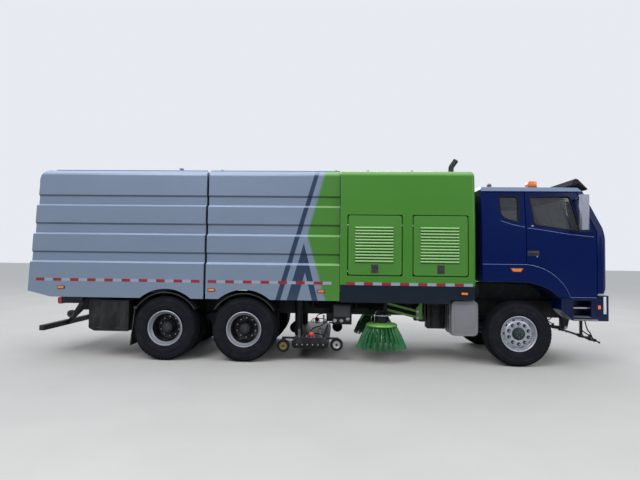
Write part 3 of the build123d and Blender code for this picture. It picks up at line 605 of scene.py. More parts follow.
def rod(start: Point, end: Point, radius: float, sides: int = 20, bevel: float = 0.0,
        tip: float | None = None) -> Mesh:
    """A round bar between two points.

    Args:
        start: One end.
        end: The other end.
        radius: Radius at the start.
        sides: Faces round the bar.
        bevel: Width of the rounded end edges.
        tip: Radius at the end, where it differs.

    Returns:
        The new object, settled.
    """
    clear()
    a, b = Vector(start), Vector(end)
    bpy.ops.mesh.primitive_cone_add(vertices=sides, radius1=radius, radius2=radius if tip is None else tip,
                                    depth=(b - a).length, location=(a + b) / 2)
    obj = bpy.context.object
    obj.rotation_mode = "QUATERNION"
    obj.rotation_quaternion = (b - a).to_track_quat("Z", "Y")
    settle(obj)
    if bevel:
        edit(obj)
        bpy.ops.mesh.select_all(action="DESELECT")
        done()
        for edge in obj.data.edges:
            p, q = (obj.data.vertices[i].co for i in edge.vertices)
            edge.select = abs((q - p).normalized().dot((b - a).normalized())) < 0.5
        bpy.ops.object.mode_set(mode="EDIT")
        bpy.ops.mesh.bevel(offset=bevel, segments=2, affect="EDGES")
        done()
    return obj


def chain(points: list[Point]) -> Mesh:
    """A line of edges through the points, grown vertex by vertex from a plane's merged corners.

    Args:
        points: The corners in order.

    Returns:
        The wire object.
    """
    clear()
    bpy.ops.mesh.primitive_plane_add(size=0.01, location=points[0])
    obj = settle(bpy.context.object)
    edit(obj)
    bpy.ops.mesh.merge(type="CENTER")
    for a, b in zip(points, points[1:]):
        step = Vector(b) - Vector(a)
        bpy.ops.mesh.extrude_region_move(TRANSFORM_OT_translate={"value": step})
    done()
    return obj


def lathe(profile: Profile, centre: Point, steps: int = 64, way: Way = Way.OUT) -> Mesh:
    """A shape turned about an axis.

    Args:
        profile: Points as (radius, distance along the axis from the centre).
        centre: A point on the axis.
        steps: Steps round the circle.
        way: The axis's direction. About an upright axis the profile stays open.

    Returns:
        The new object.
    """
    axis, radial = (Vector(direction) for direction in way.value)
    points = [Vector(centre) + axis * along + radial * reach for reach, along in profile]
    obj = chain(points if way is Way.UP else points + points[:1])
    edit(obj)
    bpy.ops.mesh.spin(steps=steps, angle=math.tau, center=centre, axis=axis)
    bpy.ops.mesh.select_all(action="SELECT")
    bpy.ops.mesh.remove_doubles(threshold=0.00005)
    bpy.ops.mesh.normals_make_consistent(inside=False)
    done()
    return obj


def heads(places: list[Point], out: Point, radius: float = 0.011, height: float = 0.01) -> Mesh:
    """Hexagon bolt heads on round washers.

    Args:
        places: The feet of the heads.
        out: Unit direction away from the face.
        radius: Radius of a head's corners.
        height: How far a head stands out.

    Returns:
        All heads as one mesh.
    """
    push = Vector(out)
    parts = []
    for place in places:
        foot = Vector(place) - push * 0.002
        parts.append(rod(foot, foot + push * 0.0045, radius * 1.35, 16, 0.001))
        parts.append(rod(foot, foot + push * (height + 0.002), radius, 6, 0.001))
    return join(parts)


def slab(x: Span, y: Span, z: Span, bevel: float = 0.003, segments: int = 2) -> Mesh:
    """A block given by its spans along X, Y and Z, with its edges rounded.

    Args:
        x: Lowest and highest X.
        y: Lowest and highest Y.
        z: Lowest and highest Z.
        bevel: Width of the rounded edges.
        segments: Steps of each rounding.

    Returns:
        The block.
    """
    low, high = zip(x, y, z)
    return block(low, high, bevel, segments)


def sheet(points: list[Point], push: Point, bevel: float = 0.0) -> Mesh:
    """A flat plate drawn by its corners and given a thickness.

    Args:
        points: The corners in order, in one plane.
        push: The vector that the plate is extruded by.
        bevel: Width of the rounded edges.

    Returns:
        The new object.
    """
    obj = chain(points)
    edit(obj)
    bpy.ops.mesh.edge_face_add()
    bpy.ops.mesh.extrude_region_move(TRANSFORM_OT_translate={"value": push})
    bpy.ops.mesh.select_all(action="SELECT")
    bpy.ops.mesh.normals_make_consistent(inside=False)
    if bevel:
        bpy.ops.mesh.bevel(offset=bevel, segments=2, affect="EDGES")
    done()
    return obj


def pipe(points: list[Point], radius: float, bend: float = 0.06, sides: int = 4) -> Mesh:
    """A bent tube through the points, with its corners rounded.

    Args:
        points: Corners of the pipe's run.
        radius: Radius of the tube.
        bend: Length of straight taken up by each bend.
        sides: Quarter-circle resolution of the section.

    Returns:
        The tube as a mesh.
    """
    data = bpy.data.curves.new("pipe", "CURVE")
    data.dimensions = "3D"
    data.bevel_depth = radius
    data.bevel_resolution = sides
    data.use_fill_caps = True
    ends = [Vector(p) for p in points]
    route = [ends[0]]
    for before, here, after in zip(ends, ends[1:], ends[2:]):
        into, out = (before - here).normalized(), (after - here).normalized()
        reach = min(bend, (before - here).length * 0.45, (after - here).length * 0.45)
        start, stop = here + into * reach, here + out * reach
        route += [start.lerp(here, t).lerp(here.lerp(stop, t), t) for t in (0, 0.25, 0.5, 0.75, 1)]
    route.append(ends[-1])
    spline = data.splines.new("POLY")
    spline.points.add(len(route) - 1)
    for point, place in zip(spline.points, route):
        point.co = (*place, 1)
    obj = bpy.data.objects.new("pipe", data)
    bpy.context.scene.collection.objects.link(obj)
    take(obj)
    bpy.ops.object.convert(target="MESH")
    return bpy.context.object


def ring(obj: Mesh, count: int, centre: Point, axis: Point = (0, 1, 0)) -> Mesh:
    """Repeats all of a mesh round an axis.

    Args:
        obj: The piece that is repeated.
        count: Copies round the full circle.
        centre: A point on the axis.
        axis: The axis's direction.

    Returns:
        The same object with its copies joined in.
    """
    edit(obj)
    bpy.ops.mesh.spin(steps=count, dupli=True, angle=math.tau, center=centre, axis=axis)
    bpy.ops.mesh.select_all(action="SELECT")
    bpy.ops.mesh.remove_doubles(threshold=0.00002)
    done()
    return obj


def carve(obj: Mesh, cutter: Mesh) -> Mesh:
    """Cuts one shape out of another and removes the cutter.

    Args:
        obj: The piece that is cut.
        cutter: The closed shape that is taken away.

    Returns:
        The cut piece.
    """
    take(obj)
    change = obj.modifiers.new("cut", "BOOLEAN")
    change.operation = "DIFFERENCE"
    change.solver = "EXACT"
    change.object = cutter
    bpy.ops.object.modifier_apply(modifier=change.name)
    bpy.data.objects.remove(cutter)
    return obj


def copy(obj: Mesh, shift: Point = (0, 0, 0), flip: bool = False) -> Mesh:
    """A copy with its own mesh, moved or mirrored left to right.

    Args:
        obj: The piece to copy.
        shift: How far the copy moves.
        flip: Whether the copy is mirrored across the truck's middle.

    Returns:
        The copy, settled.
    """
    take(obj)
    bpy.ops.object.duplicate()
    twin = bpy.context.object
    if flip:
        twin.data.transform(Matrix.Scale(-1, 4, (0, 1, 0)))
        twin.data.flip_normals()
    twin.data.transform(Matrix.Translation(shift))
    return twin


def join(parts: list[Mesh]) -> Mesh:
    """Joins several meshes into the first and returns it."""
    if len(parts) == 1:
        return parts[0]
    clear()
    for part in parts:
        part.select_set(True)
    bpy.context.view_layer.objects.active = parts[0]
    bpy.ops.object.join()
    return parts[0]


def seat(parts: list[Mesh] | Mesh, name: str, finish: str, body: str = "root",
         smooth: float = 32.0) -> Mesh:
    """Names a finished piece, gives it its finish and lets it ride on its body.

    Args:
        parts: The meshes that make the piece.
        name: The piece's name.
        finish: The finish's name.
        body: The body that it rides on.
        smooth: Angle in degrees under which its faces are shaded smooth.

    Returns:
        The seated piece.
    """
    obj = settle(join(parts if isinstance(parts, list) else [parts]))
    bpy.ops.object.shade_smooth_by_angle(angle=math.radians(smooth))
    obj.name = obj.data.name = name
    obj.data.materials.clear()
    obj.data.materials.append(MATERIALS[finish])
    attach(obj, body)
    LOG.info("piece %s: %d faces on %s", name, len(obj.data.polygons), body)
    return obj


def both(part: Mesh) -> list[Mesh]:
    """A part of the left side and its mirror image on the right."""
    return [part, copy(part, flip=True)]


def pair(parts: list[Mesh] | Mesh, name: str, finish: str, body: str = "root",
         smooth: float = 32.0) -> list[Mesh]:
    """Seats a piece that was made on the left, and its mirror image on the right.

    Args:
        parts: The meshes that make the left piece.
        name: The pieces' name without its side.
        finish: The finish's name.
        body: The body that they ride on, with a star for the side's word where each side has its own.
        smooth: Angle in degrees under which faces are shaded smooth.

    Returns:
        The right and the left piece.
    """
    left, right = both(join(parts if isinstance(parts, list) else [parts]))
    return [seat(part, f"{name}_{side.word}", finish, body.replace("*", side.word), smooth)
            for side, part in ((Side.RIGHT, right), (Side.LEFT, left))]


def replace_pair(pieces: list[Mesh], node: str) -> None:
    """Lets a pair of pieces take the place of the frame's two nodes of that name."""
    for side, piece in zip(Side, pieces):
        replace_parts(piece, f"{node}_{side.word}")


@dataclass
class Dressing:
    """Gives every CAD node its finish and rounds its edges."""

    finishes: dict[str, str] = field(default_factory=lambda: {
        "chassis_frame": "chassis_black", "gear_mounts": "chassis_black", "axles": "cast_dark",
        "leaf_springs": "cast_dark", "engine_blocks": "cast_dark", "fuel_tank": "tank_alloy",
        "air_tanks": "chassis_black", "front_bumper": "navy_bumper", "mudguards": "black_plastic",
        "rear_bars": "chassis_black", "tool_box": "chassis_black", "water_tank": "silver_striped",
        "machine_compartment": "green_skirted", "exhaust_stack": "cast_dark", "tie_rod": "cast_dark",
        "cab_shell": "navy_paint", "cab_glass": "glass", "seats": "seat_cloth",
        "dashboard": "black_plastic", "sun_visor": "visor_black", "light_bar": "amber_lens",
        "hopper": "silver_paint", "tail_door": "silver_paint", "suction_nozzle": "chassis_black",
        "nozzle_wheels_rear": "hose_rubber", "nozzle_wheels_front": "hose_rubber",
        "knuckle": "cast_dark", "tyre": "tyre_rubber", "wheel": "rim_silver", "cab_door": "navy_paint",
        "door_glass": "glass", "mirror": "mirror_shell", "access_door": "green_paint",
        "brush_post": "gear_green", "brush_lower": "gear_green", "brush_upper": "gear_green",
        "brush_head": "chassis_black", "side_brush": "bristle"})
    bevels: dict[str, float] = field(default_factory=lambda: {
        "cab_shell": 0.012, "cab_door": 0.006, "hopper": 0.006, "water_tank": 0.006, "tail_door": 0.008,
        "machine_compartment": 0.006, "access_door": 0.004, "front_bumper": 0.012, "mirror": 0.0,
        "fuel_tank": 0.004, "sun_visor": 0.006})

    def finish_of(self, node: str) -> str:
        """The finish of a node, by its longest matching name start."""
        starts = [start for start in self.finishes if node.startswith(start)]
        return self.finishes[max(starts, key=len)]

    def apply(self) -> None:
        """Dresses each node of the frame."""
        for name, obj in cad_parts.items():
            obj.data.materials.clear()
            obj.data.materials.append(MATERIALS[self.finish_of(name)])
            weld = obj.modifiers.new("weld", "WELD")
            weld.merge_threshold = 0.00005
            flat = obj.modifiers.new("flat", "DECIMATE")
            flat.decimate_type = "DISSOLVE"
            flat.angle_limit = math.radians(0.4)
            starts = [start for start in self.bevels if name.startswith(start)]
            width = self.bevels[max(starts, key=len)] if starts else 0.003
            if width:
                edge = obj.modifiers.new("edge", "BEVEL")
                edge.width = width
                edge.segments = 2
                edge.limit_method = "ANGLE"
                edge.angle_limit = math.radians(28)
                edge.harden_normals = False
            for polygon in obj.data.polygons:
                polygon.use_smooth = True
            normals = obj.modifiers.new("normals", "WEIGHTED_NORMAL")
            normals.weight = 60
            LOG.info("node %s dressed", name)


@dataclass
class Tyre:
    """One truck tyre with a ribbed sidewall, grooved tread and shoulder lugs, sizes in metres."""

    radius: float = TYRE_R
    half_width: float = 0.15
    tread_depth: float = 0.015
    blocks: int = 54
    rows: tuple[float, ...] = (0.0, 0.047, 0.094)
    block_width: float = 0.039
    steps: int = 96

    def carcass(self) -> Mesh:
        """Turns the sidewalls, their raised rings and the tread's floor."""
        r, w = self.radius, self.half_width
        floor = r - self.tread_depth
        outer = [(0.2925, 0.11), (0.304, 0.113), (0.312, 0.123), (0.322, 0.131), (0.33, 0.139),
                 (0.338, 0.1415), (0.343, 0.1395), (0.368, 0.1465), (0.372, 0.149), (0.38, 0.149),
                 (0.384, 0.1475), (0.425, w), (0.452, w - 0.001), (0.455, w + 0.0005), (0.463, w),
                 (0.466, w - 0.0025), (0.489, w - 0.006), (0.492, w - 0.004), (0.5, w - 0.005),
                 (0.503, w - 0.009), (0.514, w - 0.016), (floor - 0.004, 0.124), (floor, 0.112)]
        profile = outer + [(radius, -width) for radius, width in reversed(outer)]
        return lathe(profile, (0, 0, r), self.steps)

    def block(self, across: float, turn: float, width: float, drop: float) -> Mesh:
        """One tread block at the top of the tyre.

        Args:
            across: Its middle's distance from the tyre's middle plane.
            turn: Share of a pitch by which it is moved round the tyre.
            width: Its width across the tread.
            drop: How far its top lies below the crown.

        Returns:
            The block.
        """
        top = 2 * self.radius - drop
        long = math.tau * self.radius / self.blocks * 0.78
        low = (-long / 2, across - width / 2, 2 * self.radius - self.tread_depth - 0.004)
        piece = block(low, (long / 2, across + width / 2, top), 0.002, 1)
        edit(piece)
        bpy.ops.transform.rotate(value=turn * math.tau / self.blocks, orient_axis="Y",
                                 center_override=(0, across, self.radius))
        done()
        return piece

    def tread(self) -> list[Mesh]:
        """The blocks of every row and the lugs over both shoulders, repeated round the tyre."""
        pieces = []
        for number, across in enumerate(self.rows):
            for side in ((1,) if across == 0 else (1, -1)):
                pieces.append(self.block(side * across, 0.33 * number * side, self.block_width,
                                         0.0012 * number))
        for side in (1, -1):
            lug = self.block(side * 0.126, 0.5 * side, 0.018, 0.01)
            pieces.append(lug)
            foot = self.block(side * 0.137, 0.5 * side, 0.01, 0.021)
            pieces.append(foot)
        return [ring(join(pieces), self.blocks, (0, 0, self.radius))]

    def build(self) -> Mesh:
        """Makes the tyre about the Y axis, standing on the road."""
        return join([self.carcass()] + self.tread())


@dataclass
class RoadWheels:
    """All six wheel positions: tyres, rims, hubs and nuts."""

    front_track: float = 1.011
    twin_outer: float = 1.092
    twin_spacing: float = 0.354
    nut_circle: float = 0.1675
    nuts: int = 10
    steps: int = 96

    def tyres(self) -> None:
        """Replaces every tyre of the frame."""
        model = Tyre().build()
        twins = [self.twin_outer, self.twin_outer - self.twin_spacing]
        for side in Side:
            for start, body, x, rows in (("tyre_front", "front_wheel", FRONT_X, [self.front_track]),
                                         ("tyres_mid", "mid_wheels", MID_X, twins),
                                         ("tyres_rear", "rear_wheels", REAR_X, twins)):
                node = f"{start}_{side.word}"
                copies = [copy(model, (x, side.value * y, 0)) for y in rows]
                piece = seat(copies, f"tread_{node}", "tyre_rubber", f"{body}_{side.word}", smooth=40)
                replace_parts(piece, node)
        bpy.data.objects.remove(model)

    def fasteners(self, place: str, body: str, centre: Point, face: float) -> None:
        """Seats the cup washers with their nuts, and the bright stud ends.

        Args:
            place: Word for the wheel's place in the pieces' names.
            body: The body that they ride on.
            centre: The wheel's middle.
            face: The disc face's distance outward from the centre.
        """
        x, y, z = centre

        def peg(radius: float, low: float, high: float, sides: int) -> Mesh:
            """One stub along the axle at the topmost nut."""
            top = z + self.nut_circle
            return rod((x, y + face + low, top), (x, y + face + high, top), radius, sides)

        nut = join([peg(0.029, -0.004, 0.004, 24), peg(0.02, 0.003, 0.024, 6)])
        pair(ring(nut, self.nuts, centre), f"nuts_{place}", "rim_black", body, 25)
        stud = peg(0.0105, 0.02, 0.034, 12)
        pair(ring(stud, self.nuts, centre), f"studs_{place}", "bare_steel", body, smooth=25)

    def front(self) -> None:
        """The steered wheel: a convex silver disc with hand holes, ten nuts and a dark hub."""
        centre = (FRONT_X, self.front_track, TYRE_R)
        body = "front_wheel_*"
        disc = mm("104,100 108,110 116,113 192,113 206,110 219,102 232,88 240,82 250,81 "
                  "259,88 266,104 272,119 279,129 288,133.5 296,131 298.5,126 297.5,119 "
                  "291.5,113.5 291.5,-113.5 298.5,-117 298.5,-130 288,-132 272,-118 250,-60 "
                  "246,10 250,60 236,66 222,84 205,96 190,100")
        rim = lathe(disc, centre, self.steps)
        hole = block((FRONT_X - 0.021, centre[1] + 0.02, TYRE_R + 0.224),
                     (FRONT_X + 0.021, centre[1] + 0.16, TYRE_R + 0.244), 0.009, 3)
        edit(hole)
        bpy.ops.transform.rotate(value=math.pi / self.nuts, orient_axis="Y", center_override=centre)
        done()
        carve(rim, ring(hole, self.nuts, centre))
        replace_pair(pair(rim, "rim_front", "rim_silver", body, smooth=34), "wheel_front")
        hub = mm("0,149 52,149 60,146 64,140 74,139 84,135 90,126 94,114 104,110 104,-20 "
                 "45,-20 45,90 0,90")
        pair(lathe(hub, centre, 48), "hub_front", "hub_green", body)
        self.fasteners("front", body, centre, 0.113)
        cap = rod((FRONT_X, centre[1] + 0.145, TYRE_R + 0.047), (FRONT_X, centre[1] + 0.153, TYRE_R + 0.047),
                  0.006, 6)
        pair(ring(cap, 6, centre), "cap_bolts_front", "bare_steel", body, smooth=25)

    def twin(self, place: str, x: float) -> None:
        """A driven pair: bright outer flange, dark inner barrel and dish, dark partly as painted shade, hub
        with its half-shaft flange and nuts.
        """
        body = f"{place}_wheels_*"
        outer = (x, self.twin_outer, TYRE_R)
        inner = (x, self.twin_outer - self.twin_spacing, TYRE_R)
        bright = mm("298.5,122 298.5,131 292,135 284,134 277,127 272,112 262,94 248,72 240,62 "
                    "244,58 266,86 280,110 291.5,114.5")
        flange = lathe(bright, outer, self.steps)
        replace_pair(pair(flange, f"rim_{place}", "rim_silver", body, smooth=34), f"wheels_{place}")
        # The inner barrel and the dish take the dark finish: partly their own dark colour, partly painted
        # shade deep inside the wheel.
        barrel = mm("291.5,113.5 291.5,-113.5 298.5,-117 298.5,-130 284,-131 270,-115 "
                    "262,-105 236,-92 236,-20 238,60 269.5,90")
        seam = -self.twin_spacing / 2
        dish = [(0.112, seam + 0.014), (0.2, seam + 0.016), (0.216, seam + 0.03), (0.226, seam + 0.05),
                (0.238, seam + 0.088), (0.236, seam + 0.092), (0.222, seam + 0.06), (0.21, seam + 0.03),
                (0.196, seam + 0.024), (0.112, seam + 0.024)]
        shells = [lathe(barrel, outer, 72), lathe([(r, -w) for r, w in barrel], inner, 72),
                  lathe(dish, outer, 72), lathe([(r, 2 * seam - w) for r, w in dish], outer, 72)]
        pair(shells, f"dish_{place}", "rim_black", body, 34)
        hub = [(0.0, 0.042), (0.052, 0.042), (0.06, 0.038), (0.066, 0.028), (0.08, 0.026), (0.088, 0.018),
               (0.092, -0.004), (0.096, -0.06), (0.112, -0.082), (0.112, seam - 0.03), (0.205, seam - 0.055),
               (0.205, seam - 0.255), (0.066, seam - 0.26), (0.066, seam - 0.06), (0.0, seam - 0.06)]
        pair(lathe(hub, outer, 48), f"hub_{place}", "cast_dark", body)
        self.fasteners(place, body, outer, seam + 0.022)
        bolt = rod((x, outer[1] + 0.022, TYRE_R + 0.073), (x, outer[1] + 0.034, TYRE_R + 0.073), 0.009, 6)
        pair(ring(bolt, 8, outer), f"shaft_bolts_{place}", "cast_dark", body, smooth=25)

    def build(self) -> None:
        """Dresses every wheel."""
        self.tyres()
        self.front()
        self.twin("mid", MID_X)
        self.twin("rear", REAR_X)


@dataclass
class SideBrush:
    """The two sweeping brushes: a domed disc and two rings of fanned bristle tufts."""

    reach_x: float = 1.17
    reach_y: float = 0.83
    disc_z: float = 0.6
    disc_radius: float = 0.272
    tip_z: float = 0.219
    tip_radius: float = 0.424
    outer_tufts: int = 28
    inner_tufts: int = 20
    bristles: int = 46
    thickness: float = 0.0021

    def tuft(self, root: float, tip: float, low: float, fan: float, count: int) -> Mesh:
        """One tuft that leaves the disc as a bundle and fans out towards the road.

        Args:
            root: Radius at which it leaves the disc.
            tip: Radius of its tip.
            low: Height of its tip.
            fan: Half spread of the tip along the ring.
            count: Number of bristles.

        Returns:
            The tuft, on the brush's -Y side.
        """
        parts = []
        for _ in range(count):
            turn, out = random.uniform(0, math.tau), math.sqrt(random.random())
            a, b = out * math.cos(turn), out * math.sin(turn)
            start = (self.reach_x + a * 0.01, -root + b * 0.008, self.disc_z + 0.01)
            end = (self.reach_x + a * fan + random.uniform(-0.004, 0.004), -tip + b * 0.017,
                   low + random.uniform(0, 0.022))
            middle = tuple((s + e) / 2 for s, e in zip(start, end))
            middle = (middle[0], middle[1] - 0.012, middle[2] + 0.006)
            parts.append(rod(start, middle, self.thickness, 3))
            parts.append(rod(middle, end, self.thickness, 3, tip=self.thickness * 0.75))
        return join(parts)

    def build(self) -> None:
        """Makes both brushes."""
        centre, upright = (self.reach_x, 0, 0), (0, 0, 1)
        outer = self.tuft(0.243, self.tip_radius, self.tip_z, 0.03, self.bristles)
        outer = ring(outer, self.outer_tufts, centre, upright)
        inner = self.tuft(0.2, 0.352, self.tip_z + 0.012, 0.03, self.bristles // 2)
        bristles = join([outer, ring(inner, self.inner_tufts, centre, upright)])
        top = self.disc_z + 0.05
        disc = lathe([(0, top + 0.01), (0.088, top + 0.01), (0.098, top + 0.006), (0.11, top),
                      (0.2, top - 0.003), (0.24, top - 0.009), (0.262, top - 0.02),
                      (self.disc_radius, top - 0.036), (self.disc_radius, self.disc_z),
                      (0.262, self.disc_z - 0.004), (0, self.disc_z)], centre, 72, Way.UP)
        bolt = rod((self.reach_x + 0.155, 0, top - 0.004), (self.reach_x + 0.155, 0, top + 0.01), 0.011, 6)
        bolts = ring(bolt, 6, centre, upright)
        for side in Side:
            shift = (0, side.value * self.reach_y, 0)
            body = f"side_brush_{side.word}"
            tufts = seat(copy(bristles, shift), f"bristles_{side.word}", "bristle", body, smooth=60)
            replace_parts(tufts, body)
            seat(copy(disc, shift), f"disc_{side.word}", "disc_green", body, 40)
            seat(copy(bolts, shift), f"disc_bolts_{side.word}", "bare_steel", body, smooth=25)
        for spare in (bristles, disc, bolts):
            bpy.data.objects.remove(spare)


def side_y(height: float) -> float:
    """Half width of the machine compartment's outer face at a height in metres."""
    share = max(0.0, (height - 1.9) / 1.365)
    return BODY_HALF - 0.009 * share - 0.066 * share * share


def cab_y(height: float) -> float:
    """Half width of the cab's side at a height in metres."""
    stations = ((1.1, 1.232), (1.7, 1.245), (2.25, 1.24), (2.93, 1.15), (3.0, 1.09), (3.033, 0.9))
    for (low, a), (high, b) in zip(stations, stations[1:]):
        if height <= high:
            return a + (b - a) * max(0.0, height - low) / (high - low)
    return stations[-1][1]


@dataclass
class BodyTrim:
    """Tape, marker lamps, louvres, latches, roof beads and a dark plate in the body's joint as painted shade.
    """

    tape_z: float = 1.346
    tape_height: float = 0.05
    tape_pitch: float = 0.3
    louvre_low: float = 1.706
    louvre_pitch: float = 0.0512
    louvre_count: int = 12
    latch_z: float = 1.598
    doors: dict[str, tuple[float, float, float]] = field(default_factory=lambda: {
        "rear": (0.673, 1.333, 1.014), "front": (1.762, 2.422, 2.111)})
    markers: tuple[tuple[float, float, str], ...] = ((-4.343, 1.213, "hopper"), (-1.737, 1.203, "root"),
                                                     (0.116, 1.208, "root"), (2.497, 1.203, "root"))

    def tape(self) -> None:
        """The red and white reflective tape along hopper, tank and compartment."""
        reach, pitch = BODY_HALF + 0.0008, self.tape_pitch
        z = (self.tape_z - self.tape_height / 2, self.tape_z + self.tape_height / 2)
        for name, body, first, reds in (("hopper", "hopper", -4.717, 10), ("tank", "root", -1.729, 7),
                                        ("bay", "root", 0.611, 7)):
            for colour, start, count in (("red", first, reds),
                                         ("white", first + pitch / 2, reds - (name == "hopper"))):
                places = [start + step * pitch for step in range(count)]
                strips = [slab((x - pitch / 4 + 0.002, x + pitch / 4 - 0.002), (reach - 0.003, reach), z, 0)
                          for x in places]
                pair(strips, f"tape_{colour}_{name}", f"tape_{colour}", body)

    def lamps(self) -> None:
        """Amber side marker lamps on dark rubber bases."""
        for number, (x, z, body) in enumerate(self.markers):
            base = slab((x - 0.062, x + 0.062), (BODY_HALF, BODY_HALF + 0.008), (z - 0.026, z + 0.026), 0.006)
            pair(base, f"marker_base_{number}", "hose_rubber", body)
            lens = slab((x - 0.052, x + 0.052), (BODY_HALF + 0.006, BODY_HALF + 0.02), (z - 0.018, z + 0.018),
                        0.007, 3)
            pair(lens, f"marker_lens_{number}", "amber_lens", body)

    def louvres(self) -> None:
        """The pressed louvres of both access doors in a lighter green as painted highlight, with a black
        strip under each hood as painted shade in its opening.
        """
        section = mm("0,32 12,26 19,12 19,0 16,-1 0,2")
        for place, (low, high, _) in self.doors.items():
            hoods, shade_strips = [], []
            for step in range(self.louvre_count):
                z = self.louvre_low + step * self.louvre_pitch
                y = side_y(z)
                hood = sheet([(low, y - 0.002 + out, z + up) for out, up in section], (high - low, 0, 0))
                for end, inward in ((low, 1), (high, -1)):
                    for vertex in hood.data.vertices:
                        if abs(vertex.co.x - end) < 0.0005:
                            vertex.co.x += inward * max(0.0, vertex.co.y - y) * 1.1
                hoods.append(hood)
                # Black strips under the hoods: they stand for the openings, and their darkness is painted
                # shade.
                shade_strips.append(slab((low + 0.012, high - 0.012), (y - 0.0048, y + 0.0012),
                                  (z - 0.016, z + 0.002), 0))
            body = f"access_door_{place}_*"
            pair(hoods, f"louvres_{place}", "louvre_green", body, 24)
            pair(shade_strips, f"louvre_slots_{place}", "black_plastic", body)

    def latches(self) -> None:
        """Black pan latches with a dark paddle and a lock barrel."""
        y, z = BODY_HALF, self.latch_z
        for place, (_, _, x) in self.doors.items():

            def plate(half: float, low: float, high: float, inner: float, outer: float,
                      bevel: float = 0.003) -> Mesh:
                """A block on the door's face, given by its half width, heights and depths."""
                return slab((x - half, x + half), (y + inner, y + outer), (z + low, z + high), bevel)

            pan = carve(plate(0.059, -0.07, 0.07, -0.002, 0.006, 0.002),
                        plate(0.044, -0.055, 0.055, 0.001, 0.02, 0.004))
            body = f"access_door_{place}_*"
            pair([pan, plate(0.036, 0.022, 0.05, 0.0, 0.004)], f"latch_{place}", "black_plastic", body)
            paddle = [plate(0.026, -0.046, 0.014, 0.002, 0.0085),
                      rod((x, y + 0.002, z + 0.035), (x, y + 0.01, z + 0.035), 0.009, 16)]
            pair(paddle, f"latch_paddle_{place}", "cast_dark", body)

    def seal(self) -> None:
        """A dark plate across the joint between water tank and machine compartment: painted shade that keeps
        the gap dark.
        """
        heights = (1.07, 1.9, 2.4, 2.9, 3.1)
        line = [(0.43, side_y(z) - 0.03, z) for z in heights] + [(0.43, 1.06, 3.225), (0.43, 0.9, 3.245)]
        points = line + [(x, -y, z) for x, y, z in line[::-1]]
        seat(sheet(points, (0.006, 0, 0)), "body_seal", "hose_rubber")

    def seams(self) -> None:
        """Folded drip rails along the roof."""
        for name, body, low, high in (("tank", "root", TANK_LOW[0] + 0.01, TANK_HIGH[0] - 0.01),
                                      ("hopper", "hopper", HOPPER_LOW[0] + 0.34, HOPPER_HIGH[0] - 0.01)):
            rail = pipe([(low, 1.058, 3.2665), (high, 1.058, 3.2665)], 0.006)
            pair(rail, f"roof_bead_{name}", "silver_paint", body)

    def build(self) -> None:
        """Makes the trim of both sides."""
        for make in (self.seal, self.tape, self.lamps, self.louvres, self.latches, self.seams):
            make()


